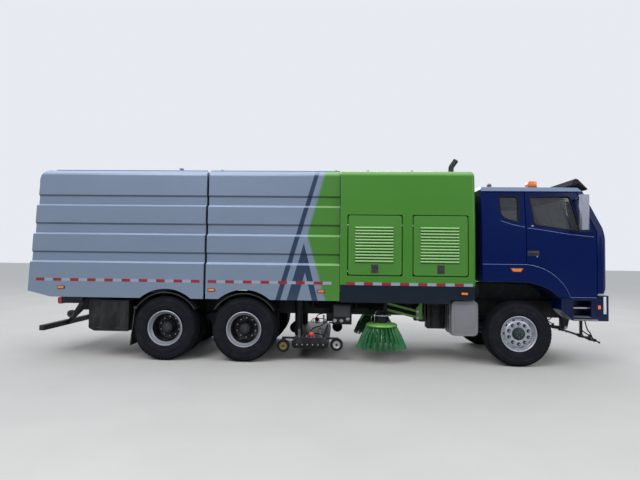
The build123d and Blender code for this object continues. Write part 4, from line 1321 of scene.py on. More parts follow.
@dataclass
class CabTrim:
    """Everything on the cab's outside: handles, seals, lamps, grille, wipers and mirrors."""

    flare_radius: float = 0.8
    flare_x: float = FRONT_X + 0.04
    flare_top: float = 1.701
    flare_band: float = 0.292
    handle: tuple[float, float] = (3.62, 1.885)
    door_window: tuple[tuple[float, float], ...] = ((3.588, 2.833), (3.644, 2.361), (4.387, 2.246),
                                                    (4.252, 2.843))
    quarter_window: tuple[tuple[float, float], ...] = ((3.084, 2.838), (3.102, 2.524), (3.17, 2.46),
                                                       (3.398, 2.392), (3.398, 2.838))

    def arch_line(self, drop: float) -> list[tuple[float, float]]:
        """The wheel arch's line from the cab's rear to its foot, lowered by a drop, as (x, z)."""
        start, count = CAB_LOW[0] + 0.002, 24
        middle = self.flare_top - drop - self.flare_radius
        turn = math.asin(0.788 / self.flare_radius)
        line = [(start + (self.flare_x - start) * k / 4, self.flare_top - drop) for k in range(4)]
        return line + [(self.flare_x + self.flare_radius * math.sin(turn * k / count),
                        middle + self.flare_radius * math.cos(turn * k / count)) for k in range(count + 1)]

    def arch(self) -> None:
        """The raised band over the wheel arch, its upper ledge in a lighter navy as a painted highlight and
        the dark lip of the opening.
        """
        foot = 1.168
        upper = [p for p in self.arch_line(0.0) if p[1] > foot]
        lower = [p for p in self.arch_line(self.flare_band) if p[1] > foot]
        outline = upper + [(upper[-1][0] + 0.02, foot), (lower[-1][0] + 0.02, foot)] + lower[::-1]
        band = sheet([(x, 1.231, z) for x, z in outline], (0, 0.0265, 0), 0.004)
        pair(band, "arch_band", "navy_paint", "cab", smooth=20)
        ledge = pipe([(x, 1.2545, z - 0.003) for x, z in upper], 0.0042, 0.02, 2)
        pair(ledge, "arch_ledge", "navy_bright", "cab")
        lip = pipe([(x, 1.247, z + 0.003) for x, z in lower], 0.008, 0.02, 2)
        pair(lip, "arch_lip", "black_plastic", "cab")

    def marker(self) -> None:
        """The amber lamp in its dark bezel on the arch."""
        y = 1.256
        x0, x1, z = 3.225, 3.462, 1.607
        outer = [(x0, z + 0.036), (x1, z + 0.036), (x1 - 0.045, z - 0.036), (x0 + 0.045, z - 0.036)]
        inner = [(x0 + 0.026, z + 0.024), (x1 - 0.026, z + 0.024), (x1 - 0.058, z - 0.024),
                 (x0 + 0.058, z - 0.024)]
        bezel = sheet([(x, y, h) for x, h in outer], (0, 0.012, 0), 0.003)
        lens = sheet([(x, y + 0.004, h) for x, h in inner], (0, 0.016, 0), 0.004)
        pair(bezel, "arch_lamp_bezel", "black_plastic", "cab")
        pair(lens, "arch_lamp", "amber_lens", "cab")

    def band(self, outline: tuple[tuple[float, float], ...], width: float, name: str, body: str) -> None:
        """A rubber seal that follows a window's edge.

        Args:
            outline: The window's corners as (x, z).
            width: Radius of the seal.
            name: The pieces' name without its side.
            body: The body that it rides on.
        """
        route = []
        count = len(outline)
        for index in range(count):
            before, here, after = (Vector(outline[(index + k) % count]) for k in (-1, 0, 1))
            into, out = (before - here).normalized(), (after - here).normalized()
            route += [here + into * 0.045, here + (into + out) * 0.012, here + out * 0.045]
        points = [(x, cab_y(z) - 0.004, z) for x, z in route]
        points.append(points[0])
        pair(pipe(points, width, 0.02), name, "hose_rubber", body)

    def grip(self) -> None:
        """The door's pull handle in its dark scoop, with the lock below."""
        x, z = self.handle
        y = cab_y(z)
        scoop = slab((x - 0.095, x + 0.095), (y - 0.004, y + 0.003), (z - 0.042, z + 0.042))
        pair(scoop, "handle_scoop", "black_plastic", "cab_door_*")
        bar = pipe([(x - 0.085, y, z + 0.004), (x - 0.07, y + 0.026, z + 0.006),
                    (x + 0.05, y + 0.026, z + 0.006), (x + 0.07, y, z + 0.004)], 0.012, 0.03)
        pair(bar, "handle", "black_plastic", "cab_door_*")
        lock = rod((x + 0.06, y, z - 0.052), (x + 0.06, y + 0.006, z - 0.052), 0.011, 20, 0.002)
        pair(lock, "door_lock", "bare_steel", "cab_door_*")

    def crease(self) -> None:
        """The raised line that falls from the quarter window across the door to the mirror foot, in a lighter
        navy as a painted highlight.
        """
        runs = (("cab", ((3.1, 2.42), (3.3, 2.355), (3.49, 2.318))),
                ("cab_door_*", ((3.53, 2.305), (3.8, 2.27), (4.2, 2.205), (4.6, 2.165))))
        for number, (body, places) in enumerate(runs):
            points = [(x, cab_y(z) - 0.001, z) for x, z in places]
            pair(pipe(points, 0.005, 0.1), f"crease_{number}", "navy_bright", body)

    def mirror(self) -> None:
        """The mirror's glass on its rear face, its hinge cups and the clamps of its stays."""
        glass = slab((4.2885, 4.2925), (1.362, 1.414), (2.305, 2.815), 0.001)
        pair(glass, "mirror_glass", "mirror_glass", "cab_door_*")
        cups = []
        for z in (2.79, 2.33):
            for reach, radius in ((1.205, 0.024), (1.336, 0.02)):
                cups.append(rod((4.33, reach - 0.014, z), (4.33, reach + 0.014, z), radius, 24, 0.004))
        cups.append(slab((4.345, 4.42), (1.335, 1.352), (2.455, 2.64), 0.008))
        pair(cups, "mirror_clamps", "black_plastic", "cab_door_*")

    def roof(self) -> None:
        """The rain gutter over the door and the dark-red lamp at the roof's rear corner."""
        rail = pipe(mm("2860,1160,2912 3600,1160,2914 4200,1158,2918"), 0.007)
        pair(rail, "roof_gutter", "hose_rubber", "cab")
        foot = lathe(mm("0,0 42,0 44,8 40,14 0,14"), (3.005, 0.9, 3.043), 32, Way.UP)
        dome = lathe(mm("0,10 36,10 37,22 30,40 16,49 0,51"), (3.005, 0.9, 3.043), 32, Way.UP)
        pair(foot, "roof_lamp_foot", "black_plastic", "cab")
        pair(dome, "roof_lamp", "red_lens", "cab")

    def beacons(self) -> None:
        """Two amber pods with ribbed lenses and dark trays, on a low bar with two feet."""
        low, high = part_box("light_bar")
        x = (low[0] + high[0]) / 2
        feet = [slab((x - 0.035, x + 0.035), (-0.43, 0.43), (3.068, 3.1), 0.006)]
        feet += both(slab((low[0], high[0]), (0.41, 0.62), (3.072, 3.088), 0.004))
        feet += both(slab((x - 0.028, x + 0.028), (0.3, 0.36), (3.035, 3.072), 0.003))
        seat(feet, "beacon_bar", "black_plastic", "cab")
        pods = both(slab((low[0] + 0.004, high[0] - 0.004), (0.418, 0.615), (3.084, 3.19), 0.02, 4))
        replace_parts(seat(pods, "beacon_pods", "amber_lens", "cab"), "light_bar")

    def nose(self, y: float) -> float:
        """X of the bumper's bowed face at a distance from the middle."""
        return BUMPER_HIGH[0] - 0.071 * y * y

    def plate(self, y: tuple[float, float], z: tuple[float, float], lift: float) -> Mesh:
        """A thin plate that follows the bumper's bowed face and stands a lift proud of it."""
        stations = [y[0] + (y[1] - y[0]) * k / 8 for k in range(9)]
        points = [(self.nose(s) + lift, s, z[0]) for s in stations]
        points += [(self.nose(s) - 0.006, s, z[0]) for s in stations[::-1]]
        return sheet(points, (0, 0, z[1] - z[0]), 0.001)

    def headlamps(self) -> None:
        """Two round lamps in each bumper pocket, in a dark surround with an amber strip."""
        bowls, lenses, rings = [], [], []
        for y in (0.785, 0.965):
            centre = (self.nose(y) + 0.01, y, 1.02)
            rings.append(lathe(mm("71.5,-26 76.5,-22 76.5,10 70,15 64,10 64,1"), centre, 48, Way.AHEAD))
            bowls.append(lathe(mm("0,1.5 12,2 40,4 63.5,9 65,2 0,0.5"), centre, 48, Way.AHEAD))
            lenses.append(lathe(mm("0,21 30,19.5 55,14 64.5,10 64,8.5 54,11.5 30,17 0,18.5"), centre, 48,
                                Way.AHEAD))
            bulb = rod((centre[0] + 0.001, y, 1.02), (centre[0] + 0.014, y, 1.02), 0.01, 16, 0.002)
            bowls.append(bulb)
        pair(rings, "headlamp_rims", "bare_steel")
        pair(bowls, "headlamp_bowls", "mirror_glass", "root")
        pair(lenses, "headlamp_lenses", "lamp_glass", "root")
        back = self.plate((0.695, 1.055), (0.934, 1.106), 0.003)
        pair(back, "headlamp_panel", "black_plastic")
        turn = self.plate((0.712, 1.038), (0.94, 0.956), 0.012)
        pair(turn, "turn_lamp", "amber_lens")

    def front(self) -> None:
        """The grille's dark mesh, the bumper's mesh, the wipers and the tow pin's cap."""
        panel = [sheet(mm("4826,-560,1420 4833.5,-560,1420 4844.5,-560,1850 4836,-560,1850"), (0, 1.12, 0),
                       0.002)]
        seat(panel, "grille_panel", "black_plastic", "cab")
        slats = []
        for step in range(8):
            z = 1.452 + step * 0.052
            x = 4.8335 + (z - 1.42) * 0.0256
            slats.append(sheet([(x - 0.002, -0.548, z + 0.026), (x + 0.0035, -0.548, z + 0.02),
                                (x + 0.0055, -0.548, z + 0.004), (x - 0.002, -0.548, z)], (0, 1.096, 0),
                               0.0012))
        seat(slats, "grille_slats", "navy_paint", "cab")
        slot = self.plate((-0.62, 0.62), (0.88, 0.935), 0.002)
        bars = [slot]
        for step in range(28):
            y = -0.6 + step * 0.0444
            x = self.nose(y)
            bars.append(block((x + 0.0005, y - 0.003, 0.884), (x + 0.006, y + 0.003, 0.931), 0.0015))
        seat(bars, "bumper_mesh", "black_plastic")
        wipers = ((-0.62, -0.86, 2.245, 2.7), (0.02, -0.24, 2.235, 2.72), (0.66, 0.4, 2.235, 2.72))
        for number, (foot_y, tip_y, foot_z, tip_z) in enumerate(wipers):
            def on_glass(y: float, z: float, lift: float) -> Point:
                """A place over the windscreen, lifted square to its slope."""
                bow = 0.012 * (y / 0.9) ** 2
                return 4.776 - (z - 2.206) * 0.4528 + lift * 0.911 - bow, y, z + lift * 0.412

            parts = [rod(on_glass(foot_y, foot_z - 0.03, 0.006), on_glass(foot_y, foot_z - 0.03, 0.038),
                         0.019, 24, 0.004)]
            parts.append(pipe([on_glass(foot_y, foot_z - 0.03, 0.03),
                               on_glass(foot_y * 0.7 + tip_y * 0.3, foot_z * 0.55 + tip_z * 0.45, 0.04),
                               on_glass(tip_y, tip_z - 0.06, 0.024)], 0.007, 0.1))
            blade_low, blade_high = (tip_y + 0.01, tip_z - 0.36), (tip_y - 0.012, tip_z + 0.1)
            parts.append(pipe([on_glass(*blade_low, 0.016), on_glass(tip_y, tip_z - 0.06, 0.022),
                               on_glass(*blade_high, 0.016)], 0.006, 0.1))
            parts.append(pipe([on_glass(*blade_low, 0.008), on_glass(*blade_high, 0.008)], 0.0035))
            seat(parts, f"wiper_{number}", "black_plastic", "cab")
        cap = lathe(mm("0,0 30,0 32,4 32,10 26,13 0,13"), (4.835, 0, 1.204), 32, Way.UP)
        seat(cap, "tow_pin_cap", "black_plastic")

    def steps(self) -> None:
        """The step well's shelf, the chequer plates and the bright lips below the door."""
        shelf = slab((4.2595, 4.6015), (0.998, 1.18), (0.982, 1.0015), 0.003)
        pair(shelf, "step_shelf", "navy_paint")
        plates = []
        for low, high, level, reach in ((4.262, 4.6, 1.001, 1.176), (4.262, 4.6, 0.8502, 1.234)):
            plates.append(slab((low, high), (1.0, reach), (level - 0.001, level + 0.003), 0.001))
            for row in range(5 if reach > 1.2 else 4):
                for column in range(11):
                    x = low + 0.024 + column * (high - low - 0.048) / 10
                    y = 1.018 + row * 0.042
                    turn = 0.01 if (row + column) % 2 else -0.01
                    plates.append(rod((x - 0.01, y - turn, level + 0.0025),
                                      (x + 0.01, y + turn, level + 0.0025), 0.0028, 5))
        pair(plates, "step_plates", "chequer")
        lips = [slab((4.262, 4.66), (1.2385, 1.244), (0.8, 0.812), 0.002),
                slab((4.264, 4.598), (1.176, 1.184), (0.984, 1.004), 0.002)]
        pair(lips, "step_edge", "chequer")
        # The door sill takes the lighter navy as a painted highlight.
        sill = slab((4.135, 4.632), (1.222, 1.2405), (1.1645, 1.1725), 0.003)
        pair(sill, "door_sill", "navy_bright", "cab_door_*")

    def spray(self) -> None:
        """Swivel nozzles, elbows, a feed hose and the clamp plates of the bar in front of the wheels."""
        x, z = FRONT_X + 1.37, 0.42
        jets, hoses = [], []
        for y in (0.3, 0.62, 0.86):
            jets.append(rod((x, y - 0.022, z), (x, y + 0.022, z), 0.027, 20, 0.003))
            jets.append(rod((x + 0.01, y, z - 0.006), (x + 0.062, y + 0.014, z - 0.03), 0.012, 6, 0.001))
            jets.append(rod((x + 0.058, y + 0.013, z - 0.028), (x + 0.082, y + 0.019, z - 0.04), 0.017, 20,
                            0.003))
        jets += [slab((x - 0.034, x + 0.034), (0.372, 0.428), (z - 0.026, z + 0.026), 0.004),
                 slab((x - 0.028, x + 0.014), (0.7, 0.74), (z - 0.03, z + 0.075), 0.004),
                 rod((x - 0.01, 0.72, z + 0.05), (x - 0.13, 0.7, z + 0.14), 0.01, 12)]
        hoses.append(pipe([(x - 0.02, 0.895, z), (x - 0.06, 0.925, z + 0.03), (x - 0.07, 0.86, z + 0.12),
                           (x - 0.05, 0.72, z + 0.16), (x - 0.03, 0.6, z + 0.3)], 0.01, 0.05, 3))
        pair(jets, "spray_jets", "cast_dark")
        pair(hoses, "spray_hose", "hose_rubber")

    def corner(self) -> None:
        """The tall lamp at the bumper's corner and the reflector behind it."""
        lamp = slab((4.742, 4.79), (1.205, 1.243), (0.905, 1.19), 0.006)
        pair(lamp, "corner_strip", "clear_lens", "root")
        # This reflector takes the amber lens finish, which glows faintly: a painted glow, as it is no lamp.
        glow = slab((4.655, 4.7), (1.232, 1.2435), (0.985, 1.045), 0.004)
        pair(glow, "corner_reflector", "amber_lens")

    def build(self) -> None:
        """Makes the cab's trim."""
        for make in (self.beacons, self.front, self.mirror, self.roof, self.headlamps, self.steps,
                     self.corner, self.spray, self.arch, self.marker, self.grip, self.crease):
            make()
        self.band(self.door_window, 0.011, "door_seal", "cab_door_*")
        self.band(self.quarter_window, 0.012, "quarter_seal", "cab")


@dataclass
class CabInterior:
    """What shows through the glass: padded seats, belts, steering wheel, dials, levers and vents."""

    seat_x: float = 3.06
    floor_z: float = 1.5
    reach: tuple[float, float] = (0.335, 0.845)

    def pad(self, outline: list[tuple[float, float]], inset: float, puff: float, middle: float) -> Mesh:
        """A cushion between an outline's corners, blown up by cloth pressure and settled.

        Args:
            outline: Corners of the cushion's side as (x, z).
            inset: How far the cushion stays inside the seat's width.
            puff: How far a point may move.
            middle: The cushion's middle in Y.

        Returns:
            The cushion as one closed mesh.
        """
        half = (self.reach[1] - self.reach[0]) / 2 - inset
        cushion = sheet([(x, middle - half, z) for x, z in outline], (0, 2 * half, 0))
        edit(cushion)
        bpy.ops.mesh.bevel(offset=0.022, segments=2, affect="EDGES")
        done()
        take(cushion)
        grid = cushion.modifiers.new("grid", "REMESH")
        grid.mode = "VOXEL"
        grid.voxel_size = 0.016
        bpy.ops.object.modifier_apply(modifier=grid.name)
        rest = [vertex.co.copy() for vertex in cushion.data.vertices]
        cloth = cushion.modifiers.new("cloth", "CLOTH")
        cloth.settings.quality = 3
        cloth.settings.mass = 0.3
        cloth.settings.use_pressure = True
        cloth.settings.uniform_pressure_force = 4.0
        cloth.settings.effector_weights.gravity = 0.0
        cloth.point_cache.frame_end = 20
        for step in range(1, 15):
            bpy.context.scene.frame_set(step)
        bpy.ops.object.modifier_apply(modifier=cloth.name)
        bpy.context.scene.frame_set(1)
        for vertex, home in zip(cushion.data.vertices, rest):
            move = vertex.co - home
            if move.length > puff:
                vertex.co = home + move.normalized() * puff
        smooth = cushion.modifiers.new("smooth", "SUBSURF")
        smooth.levels = smooth.render_levels = 1
        bpy.ops.object.modifier_apply(modifier=smooth.name)
        return cushion

    def seats(self) -> None:
        """Base and back cushions with a sewn welt, a head pad, side plates and a belt for each seat."""
        x, z = self.seat_x, self.floor_z
        near, far = self.reach
        pads = (("seat_base", ((0.2, 0.266), (0.705, 0.29), (0.712, 0.345), (0.24, 0.33)), 0.03, 0.02),
                ("seat_back", ((0.262, 0.3), (0.3, 0.33), (0.158, 0.76), (0.118, 0.76)), 0.04, 0.016),
                ("seat_head", ((0.112, 0.785), (0.16, 0.785), (0.142, 0.925), (0.1, 0.925)), 0.12, 0.01))
        for name, outline, inset, puff in pads:
            pad = self.pad([(x + along, z + up) for along, up in outline], inset, puff, (near + far) / 2)
            for piece in pair(pad, name, "seat_cloth", "cab", 60):
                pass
        welts = [pipe([(x + 0.25, y, z + 0.344), (x + 0.48, y, z + 0.3595), (x + 0.7, y, z + 0.356)], 0.0045,
                      0.05, 2) for y in (near + 0.045, far - 0.045, near + 0.13, far - 0.13)]
        pair(welts, "seat_welts", "black_plastic", "cab")
        plates = [slab((x + 0.18, x + 0.64), (reach - 0.005, reach + 0.005), (z + 0.12, z + 0.235), 0.02)
                  for reach in (near - 0.002, far + 0.002)]
        lever = pipe([(x + 0.5, near - 0.008, z + 0.16), (x + 0.5, near - 0.03, z + 0.17),
                      (x + 0.6, near - 0.03, z + 0.2)], 0.008, 0.02)
        pair(plates + [lever], "seat_plates", "black_plastic", "cab")
        belt = sheet([(x + 0.15, 0.8, z + 0.905), (x + 0.15, 0.845, z + 0.905), (x + 0.335, 0.52, z + 0.345),
                      (x + 0.335, 0.475, z + 0.345)], (0.0025, 0, 0.001))
        buckle = slab((x + 0.33, x + 0.36), (0.455, 0.5), (z + 0.3, z + 0.375), 0.004)
        pair([belt, buckle], "seat_belt", "hose_rubber", "cab")

    def controls(self) -> None:
        """The wheel's grip with its spokes and boss, the dial hood, levers and the dashboard's vents."""
        centre = Vector((4.06, 0.59, 2.13))
        axis = Vector((0.62, 0, -0.78)).normalized()
        turn = axis.to_track_quat("Z", "Y")
        clear()
        bpy.ops.mesh.primitive_torus_add(major_radius=0.215, minor_radius=0.0165, major_segments=64,
                                         minor_segments=14)
        grip = bpy.context.object
        bumps = [block((-0.03, -0.2355, -0.014), (0.03, -0.2335, 0.014), 0.0005)]
        hub = lathe(mm("0,-20 30,-22 60,-18 72,-6 70,12 0,14"), (0, 0, 0), 40, Way.UP)
        spokes = [block((-0.205, -0.018, -0.009), (0.205, 0.018, 0.006), 0.005),
                  block((-0.016, 0.02, -0.009), (0.016, 0.205, 0.006), 0.005)]
        wheel = join([grip, hub] + bumps + spokes)
        settle(wheel)
        wheel.data.transform(Matrix.Translation(centre) @ turn.to_matrix().to_4x4())
        seat(wheel, "steering_wheel", "black_plastic", "cab")
        hood = sheet(mm("4290,360,2060 4350,360,2150 4520,360,2120 4520,360,2050"), (0, 0.46, 0), 0.01)
        seat(hood, "dial_hood", "black_plastic", "cab")
        dials = [lathe(mm("0,0 44,0 46,2 46,6 42,7 0,4"), (4.286, y, 2.02), 32, Way.BACK)
                 for y in (0.5, 0.6, 0.7)]
        seat(dials, "dials", "dial", "cab")
        levers = [pipe(mm("3860,120,1500 3860,120,1780 3900,130,1920"), 0.01, 0.05),
                  rod((3.898, 0.1295, 1.912), (3.912, 0.133, 1.965), 0.022, 20, 0.006),
                  pipe(mm("4020,260,1500 4020,260,1660 4050,270,1740"), 0.012, 0.05)]
        seat(levers, "levers", "black_plastic", "cab")
        vents = []
        for y in (-0.95, -0.35, 0.2, 0.97):
            vents.append(block((4.25, y - 0.055, 1.955), (4.262, y + 0.055, 2.03), 0.004))
            vents += [block((4.246, y - 0.048, 1.964 + k * 0.013), (4.254, y + 0.048, 1.968 + k * 0.013))
                      for k in range(5)]
        seat(vents, "vents", "grey_plastic", "cab")

    def trim(self) -> None:
        """The quarter window's catch and the bright stop at the door glass's corner."""
        catch = [slab((3.286, 3.33), (1.15, 1.166), (2.476, 2.492), 0.004),
                 rod((3.296, 1.15, 2.484), (3.296, 1.168, 2.484), 0.007, 16)]
        pair(catch, "quarter_catch", "bare_steel", "cab")
        stop = slab((3.588, 3.628), (1.226, 1.2365), (2.331, 2.347), 0.004)
        pair(stop, "glass_stop", "bare_steel", "cab_door_*")

    def build(self) -> None:
        """Makes the interior."""
        self.seats()
        self.controls()
        self.trim()


@dataclass
class RearGear:
    """Lamps, reflectors and latches at the truck's rear, and the boxes along its frame."""

    beam_x: float = REAR_X - 1.86
    beam_z: tuple[float, float] = (0.944, 1.031)

    def lamps(self) -> None:
        """The lamp unit on the beam's rear face: red, amber and clear lenses in a dark tray."""
        x = self.beam_x
        low, high = self.beam_z
        tray = slab((x - 0.012, x + 0.001), (0.6, 1.226), (low - 0.004, high + 0.004), 0.004)
        pair(tray, "lamp_tray", "hose_rubber", "root")
        for name, finish, near, far in (("stop", "red_lens", 1.04, 1.218),
                                        ("turn", "amber_lens", 0.86, 1.032),
                                        ("reverse", "clear_lens", 0.735, 0.852),
                                        ("tail", "red_lens", 0.608, 0.727)):
            lens = slab((x - 0.022, x - 0.008), (near, far), (low + 0.004, high - 0.004), 0.006, 3)
            pair(lens, f"{name}_lens", finish, "root")
        flank = slab((x + 0.004, x + 0.052), (1.228, 1.2335), (low, high), 0.003)
        pair(flank, "side_lens", "red_lens", "root")
        back = x + 0.225
        struts = [slab((x + 0.055, x + 0.415), (1.18, 1.229), (0.942, 1.036), 0.004),
                  rod((back, 1.18, 0.76), (back, 1.238, 0.76), 0.062, 40, 0.004)]
        outline = ((0.365, 0.95), (0.44, 0.95), (0.262, 0.68), (0.2, 0.68))
        struts.append(sheet([(x + dx, 1.205, z) for dx, z in outline], (0, 0.026, 0), 0.004))
        pair(struts, "beam_struts", "chassis_black")
        coupling = lathe(mm("34,0 58,0 62,3 62,6 56,8 48,4 34,4"), (back, 1.2365, 0.76), 40)
        pair(coupling, "coupling_ring", "cast_dark", "root")

    def bar(self) -> None:
        """Red and white reflector strips on the under-run bar's rear face."""
        x = REAR_X - 2.25
        for name, first in (("red", 0), ("white", 1)):
            strips = [slab((x - 0.0015, x + 0.0015), (k * 0.216 - 1.076, k * 0.216 - 0.868), (0.47, 0.52), 0)
                      for k in range(first, 10, 2)]
            seat(strips, f"bar_tape_{name}", f"tape_{name}", "root")

    def door(self) -> None:
        """The tail door's reflector strips, draw latches, drain flange and camera."""
        low_z, high_z, lean = 1.147, 3.018, 0.09

        def face(z: float) -> float:
            """X of the tail door's rear face at a height."""
            return HOPPER_LOW[0] + lean * (z - low_z) / (high_z - low_z)

        for name, first in (("red", 0), ("white", 1)):
            strips = []
            for k in range(first, 10, 2):
                low, high = 1.3 + k * 0.165, 1.3 + (k + 1) * 0.165 - 0.006
                strips += both(sheet([(face(low), 1.045, low), (face(low), 1.09, low),
                                      (face(high), 1.09, high), (face(high), 1.045, high)], (-0.0016, 0, 0)))
            seat(strips, f"door_tape_{name}", f"tape_{name}", "tail_door")
        latches = []
        for z in (1.235, 1.66):
            x = face(z)
            latches += both(slab((x - 0.012, x + 0.002), (0.925, 1.005), (z - 0.045, z + 0.045), 0.004))
            latches += both(rod((x - 0.014, 0.965, z - 0.03), (x - 0.014, 0.965, z + 0.03), 0.013, 20, 0.003))
        seat(latches, "door_latches", "cast_dark", "tail_door")
        x, z = face(1.19), 1.195
        flange = lathe(mm("0,0 62,0 62,8 40,10 38,20 0,20"), (x, 0.0, z), 36, Way.BACK)
        bolts = heads([(x - 0.008, 0.05 * math.cos(k), z + 0.05 * math.sin(k))
                       for k in (0.4, 1.45, 2.5, 3.54, 4.6, 5.6)], (-1, 0, 0), 0.006, 0.005)
        seat([flange, bolts], "drain_flange", "bare_steel", "tail_door")
        eye = [slab((face(3.0) - 0.02, face(3.0) + 0.004), (-0.045, 0.045), (2.985, 3.045), 0.006),
               lathe(mm("0,20 18,20 18,28 12,30 0,26"), (face(3.0), 0, 3.015), 24, Way.BACK)]
        seat(eye, "rear_camera", "black_plastic", "tail_door")

    def boxes(self) -> None:
        """Latches and hinges of the tool box, the battery box with its straps, and the two pump chests."""
        low = REAR_X - 1.35
        y = -1.18
        lids = [sheet([(low + 0.045, y - 0.004, 0.555), (low + 0.115, y - 0.004, 0.505),
                       (low + 0.66, y - 0.004, 0.505), (low + 0.66, y - 0.004, 0.965),
                       (low + 0.045, y - 0.004, 0.965)], (0, 0.006, 0), 0.003)]
        for x in (low + 0.18, low + 0.52):
            lids.append(block((x - 0.018, y - 0.012, 0.905), (x + 0.018, y - 0.002, 0.965), 0.003))
            lids.append(rod((x, y - 0.016, 0.912), (x, y - 0.004, 0.912), 0.013, 20, 0.003))
            lids.append(rod((x - 0.03, y - 0.006, 0.522), (x + 0.03, y - 0.006, 0.522), 0.008, 16, 0.001))
        seat(lids, "tool_box_lid", "chassis_black")
        case = [block((1.962, -0.82, 0.56), (2.266, -0.56, 0.965), 0.008),
                block((1.954, -0.828, 0.96), (2.274, -0.552, 1.01), 0.006),
                block((2.0, -0.565, 0.78), (2.23, -0.434, 0.9), 0.004)]
        case += [block((1.99, -0.824, 0.606 + 0.085 * k), (2.24, -0.819, 0.64 + 0.085 * k), 0.002)
                 for k in range(4)]
        seat(case, "battery_box", "chassis_black")
        straps = []
        for x in (2.03, 2.19):
            straps.append(block((x - 0.014, -0.8325, 0.6), (x + 0.014, -0.8275, 1.01), 0.002))
            straps.append(block((x - 0.014, -0.8325, 1.008), (x + 0.014, -0.556, 1.0135), 0.002))
            straps.append(block((x - 0.022, -0.84, 0.76), (x + 0.022, -0.83, 0.83), 0.004))
        seat(straps, "battery_straps", "hose_rubber", "root")
        chest = [slab((0.31, 0.65), (0.52, 0.8), (0.6, 0.96), 0.014, 3),
                 rod((0.2, 0.66, 0.72), (0.316, 0.66, 0.72), 0.085, 40, 0.008),
                 rod((0.4, 0.66, 0.955), (0.4, 0.66, 1.02), 0.045, 32, 0.004),
                 slab((0.37, 0.59), (0.434, 0.525), (0.76, 0.93), 0.004)]
        pair(chest, "pump_chest", "chassis_black")
        caps = []
        for x, z in ((0.352, 0.668), (0.468, 0.668), (0.58, 0.7)):
            caps.append(lathe(mm("0,0 32,0 34,4 34,18 24,24 22,34 0,34"), (x, 0.799, z), 28))
        pair(caps, "chest_caps", "bare_steel")
        door = slab((0.335, 0.62), (0.7985, 0.8035), (0.735, 0.93), 0.01)
        knob = rod((0.6, 0.8, 0.83), (0.6, 0.812, 0.83), 0.012, 20, 0.002)
        pair([door, knob], "chest_door", "grey_plastic")

    def guards(self) -> None:
        """Black rolled edges on the mudguards and the stiffener with its bolts on the flap."""
        edges = []
        for x in (MID_X, REAR_X):
            points = []
            for step in range(25):
                angle = math.radians(-52 + 104 * step / 24)
                points.append((x + 0.6115 * math.sin(angle), 1.2365, TYRE_R + 0.6115 * math.cos(angle)))
            edges.append(pipe(points, 0.0042, 0.02, 2))
        pair(edges, "guard_edges", "black_plastic")
        bar = [slab((REAR_X - 0.5955, REAR_X - 0.5905), (0.62, 1.21), (0.262, 0.29), 0.001)]
        bar.append(heads([(REAR_X - 0.595, y, 0.276) for y in (0.66, 0.8, 0.94, 1.08, 1.18)], (-1, 0, 0),
                         0.007, 0.006))
        pair(bar, "flap_bar", "bare_steel")

    def build(self) -> None:
        """Makes the rear gear."""
        for make in (self.bar, self.door, self.boxes, self.lamps, self.guards):
            make()


@dataclass
class RoofGear:
    """Lids, vents and lifting eyes on the body's roofs."""

    roof_z: float = 3.265

    def eye(self, x: float, y: float) -> Mesh:
        """A lifting eye on its welded foot."""
        z = self.roof_z
        loop = lathe(mm("22,-6 36,-6 36,6 22,6"), (x, y, z + 0.03), 28)
        return join([loop, block((x - 0.045, y - 0.03, z - 0.002), (x + 0.045, y + 0.03, z + 0.008), 0.003)])

    def lid(self, x: float, y: float, half: float) -> Mesh:
        """A manhole lid with a raised rim, a handle and swing bolts."""
        z = self.roof_z
        plate = lathe([(0.0, 0.03), (half * 0.72, 0.03), (half * 0.78, 0.022), (half * 0.94, 0.022),
                       (half, 0.014), (half, -0.002), (0.0, -0.002)], (x, y, z), 48, Way.UP)
        grip = pipe([(x - 0.07, y, z + 0.026), (x - 0.07, y, z + 0.06), (x + 0.07, y, z + 0.06),
                     (x + 0.07, y, z + 0.026)], 0.007, 0.02)
        bolts = heads([(x + half * 0.88 * math.cos(k * math.tau / 8),
                        y + half * 0.88 * math.sin(k * math.tau / 8), z + 0.022) for k in range(8)],
                      (0, 0, 1), 0.011, 0.012)
        return join([plate, grip, bolts])

    def build(self) -> None:
        """Makes the roof gear."""
        seat([self.lid(-0.9, 0.0, 0.26), self.lid(0.05, -0.35, 0.11)], "tank_lids", "silver_paint")
        eyes = [self.eye(x, y) for x in (-1.7, 0.35) for y in (-0.8, 0.8)]
        seat(eyes, "tank_eyes", "silver_paint")
        eyes = [self.eye(x, y) for x in (0.913, 1.69) for y in (-0.8, 0.8)]
        seat(eyes, "bay_eyes", "green_paint")
        frame_x0, frame_x1, half, z = 1.05, 1.85, 0.3, self.roof_z
        vents = [block((frame_x0, -half, z - 0.002), (frame_x1, half, z + 0.014), 0.006)]
        for step in range(9):
            x = frame_x0 + 0.05 + step * 0.084
            vents.append(sheet([(x, -half + 0.04, z + 0.012), (x + 0.06, -half + 0.04, z + 0.034),
                                (x + 0.066, -half + 0.04, z + 0.03), (x + 0.01, -half + 0.04, z + 0.01)],
                               (0, 2 * half - 0.08, 0), 0.0015))
        seat(vents, "bay_roof_vent", "green_paint")
        for number, (x, y) in enumerate(((-2.415, -0.88), (-2.415, 0.88))):
            cowl = lathe(mm("0,82 20,80 38,70 40,50 30,46 18,44 18,12 34,8 34,-2 0,-2"), (x, y, z), 28,
                         Way.UP)
            seat(cowl, f"hopper_vent_{number}", "silver_paint", "hopper")
        flap = [block((-3.7, -0.42, z - 0.002), (-2.9, 0.42, z + 0.02), 0.008),
                block((-3.64, -0.36, z + 0.018), (-2.96, 0.36, z + 0.03), 0.006)]
        flap += [rod((x, 0.43, z + 0.016), (x, 0.47, z + 0.016), 0.014, 20, 0.002) for x in (-3.55, -3.05)]
        seat(flap, "hopper_hatch", "silver_paint", "hopper")


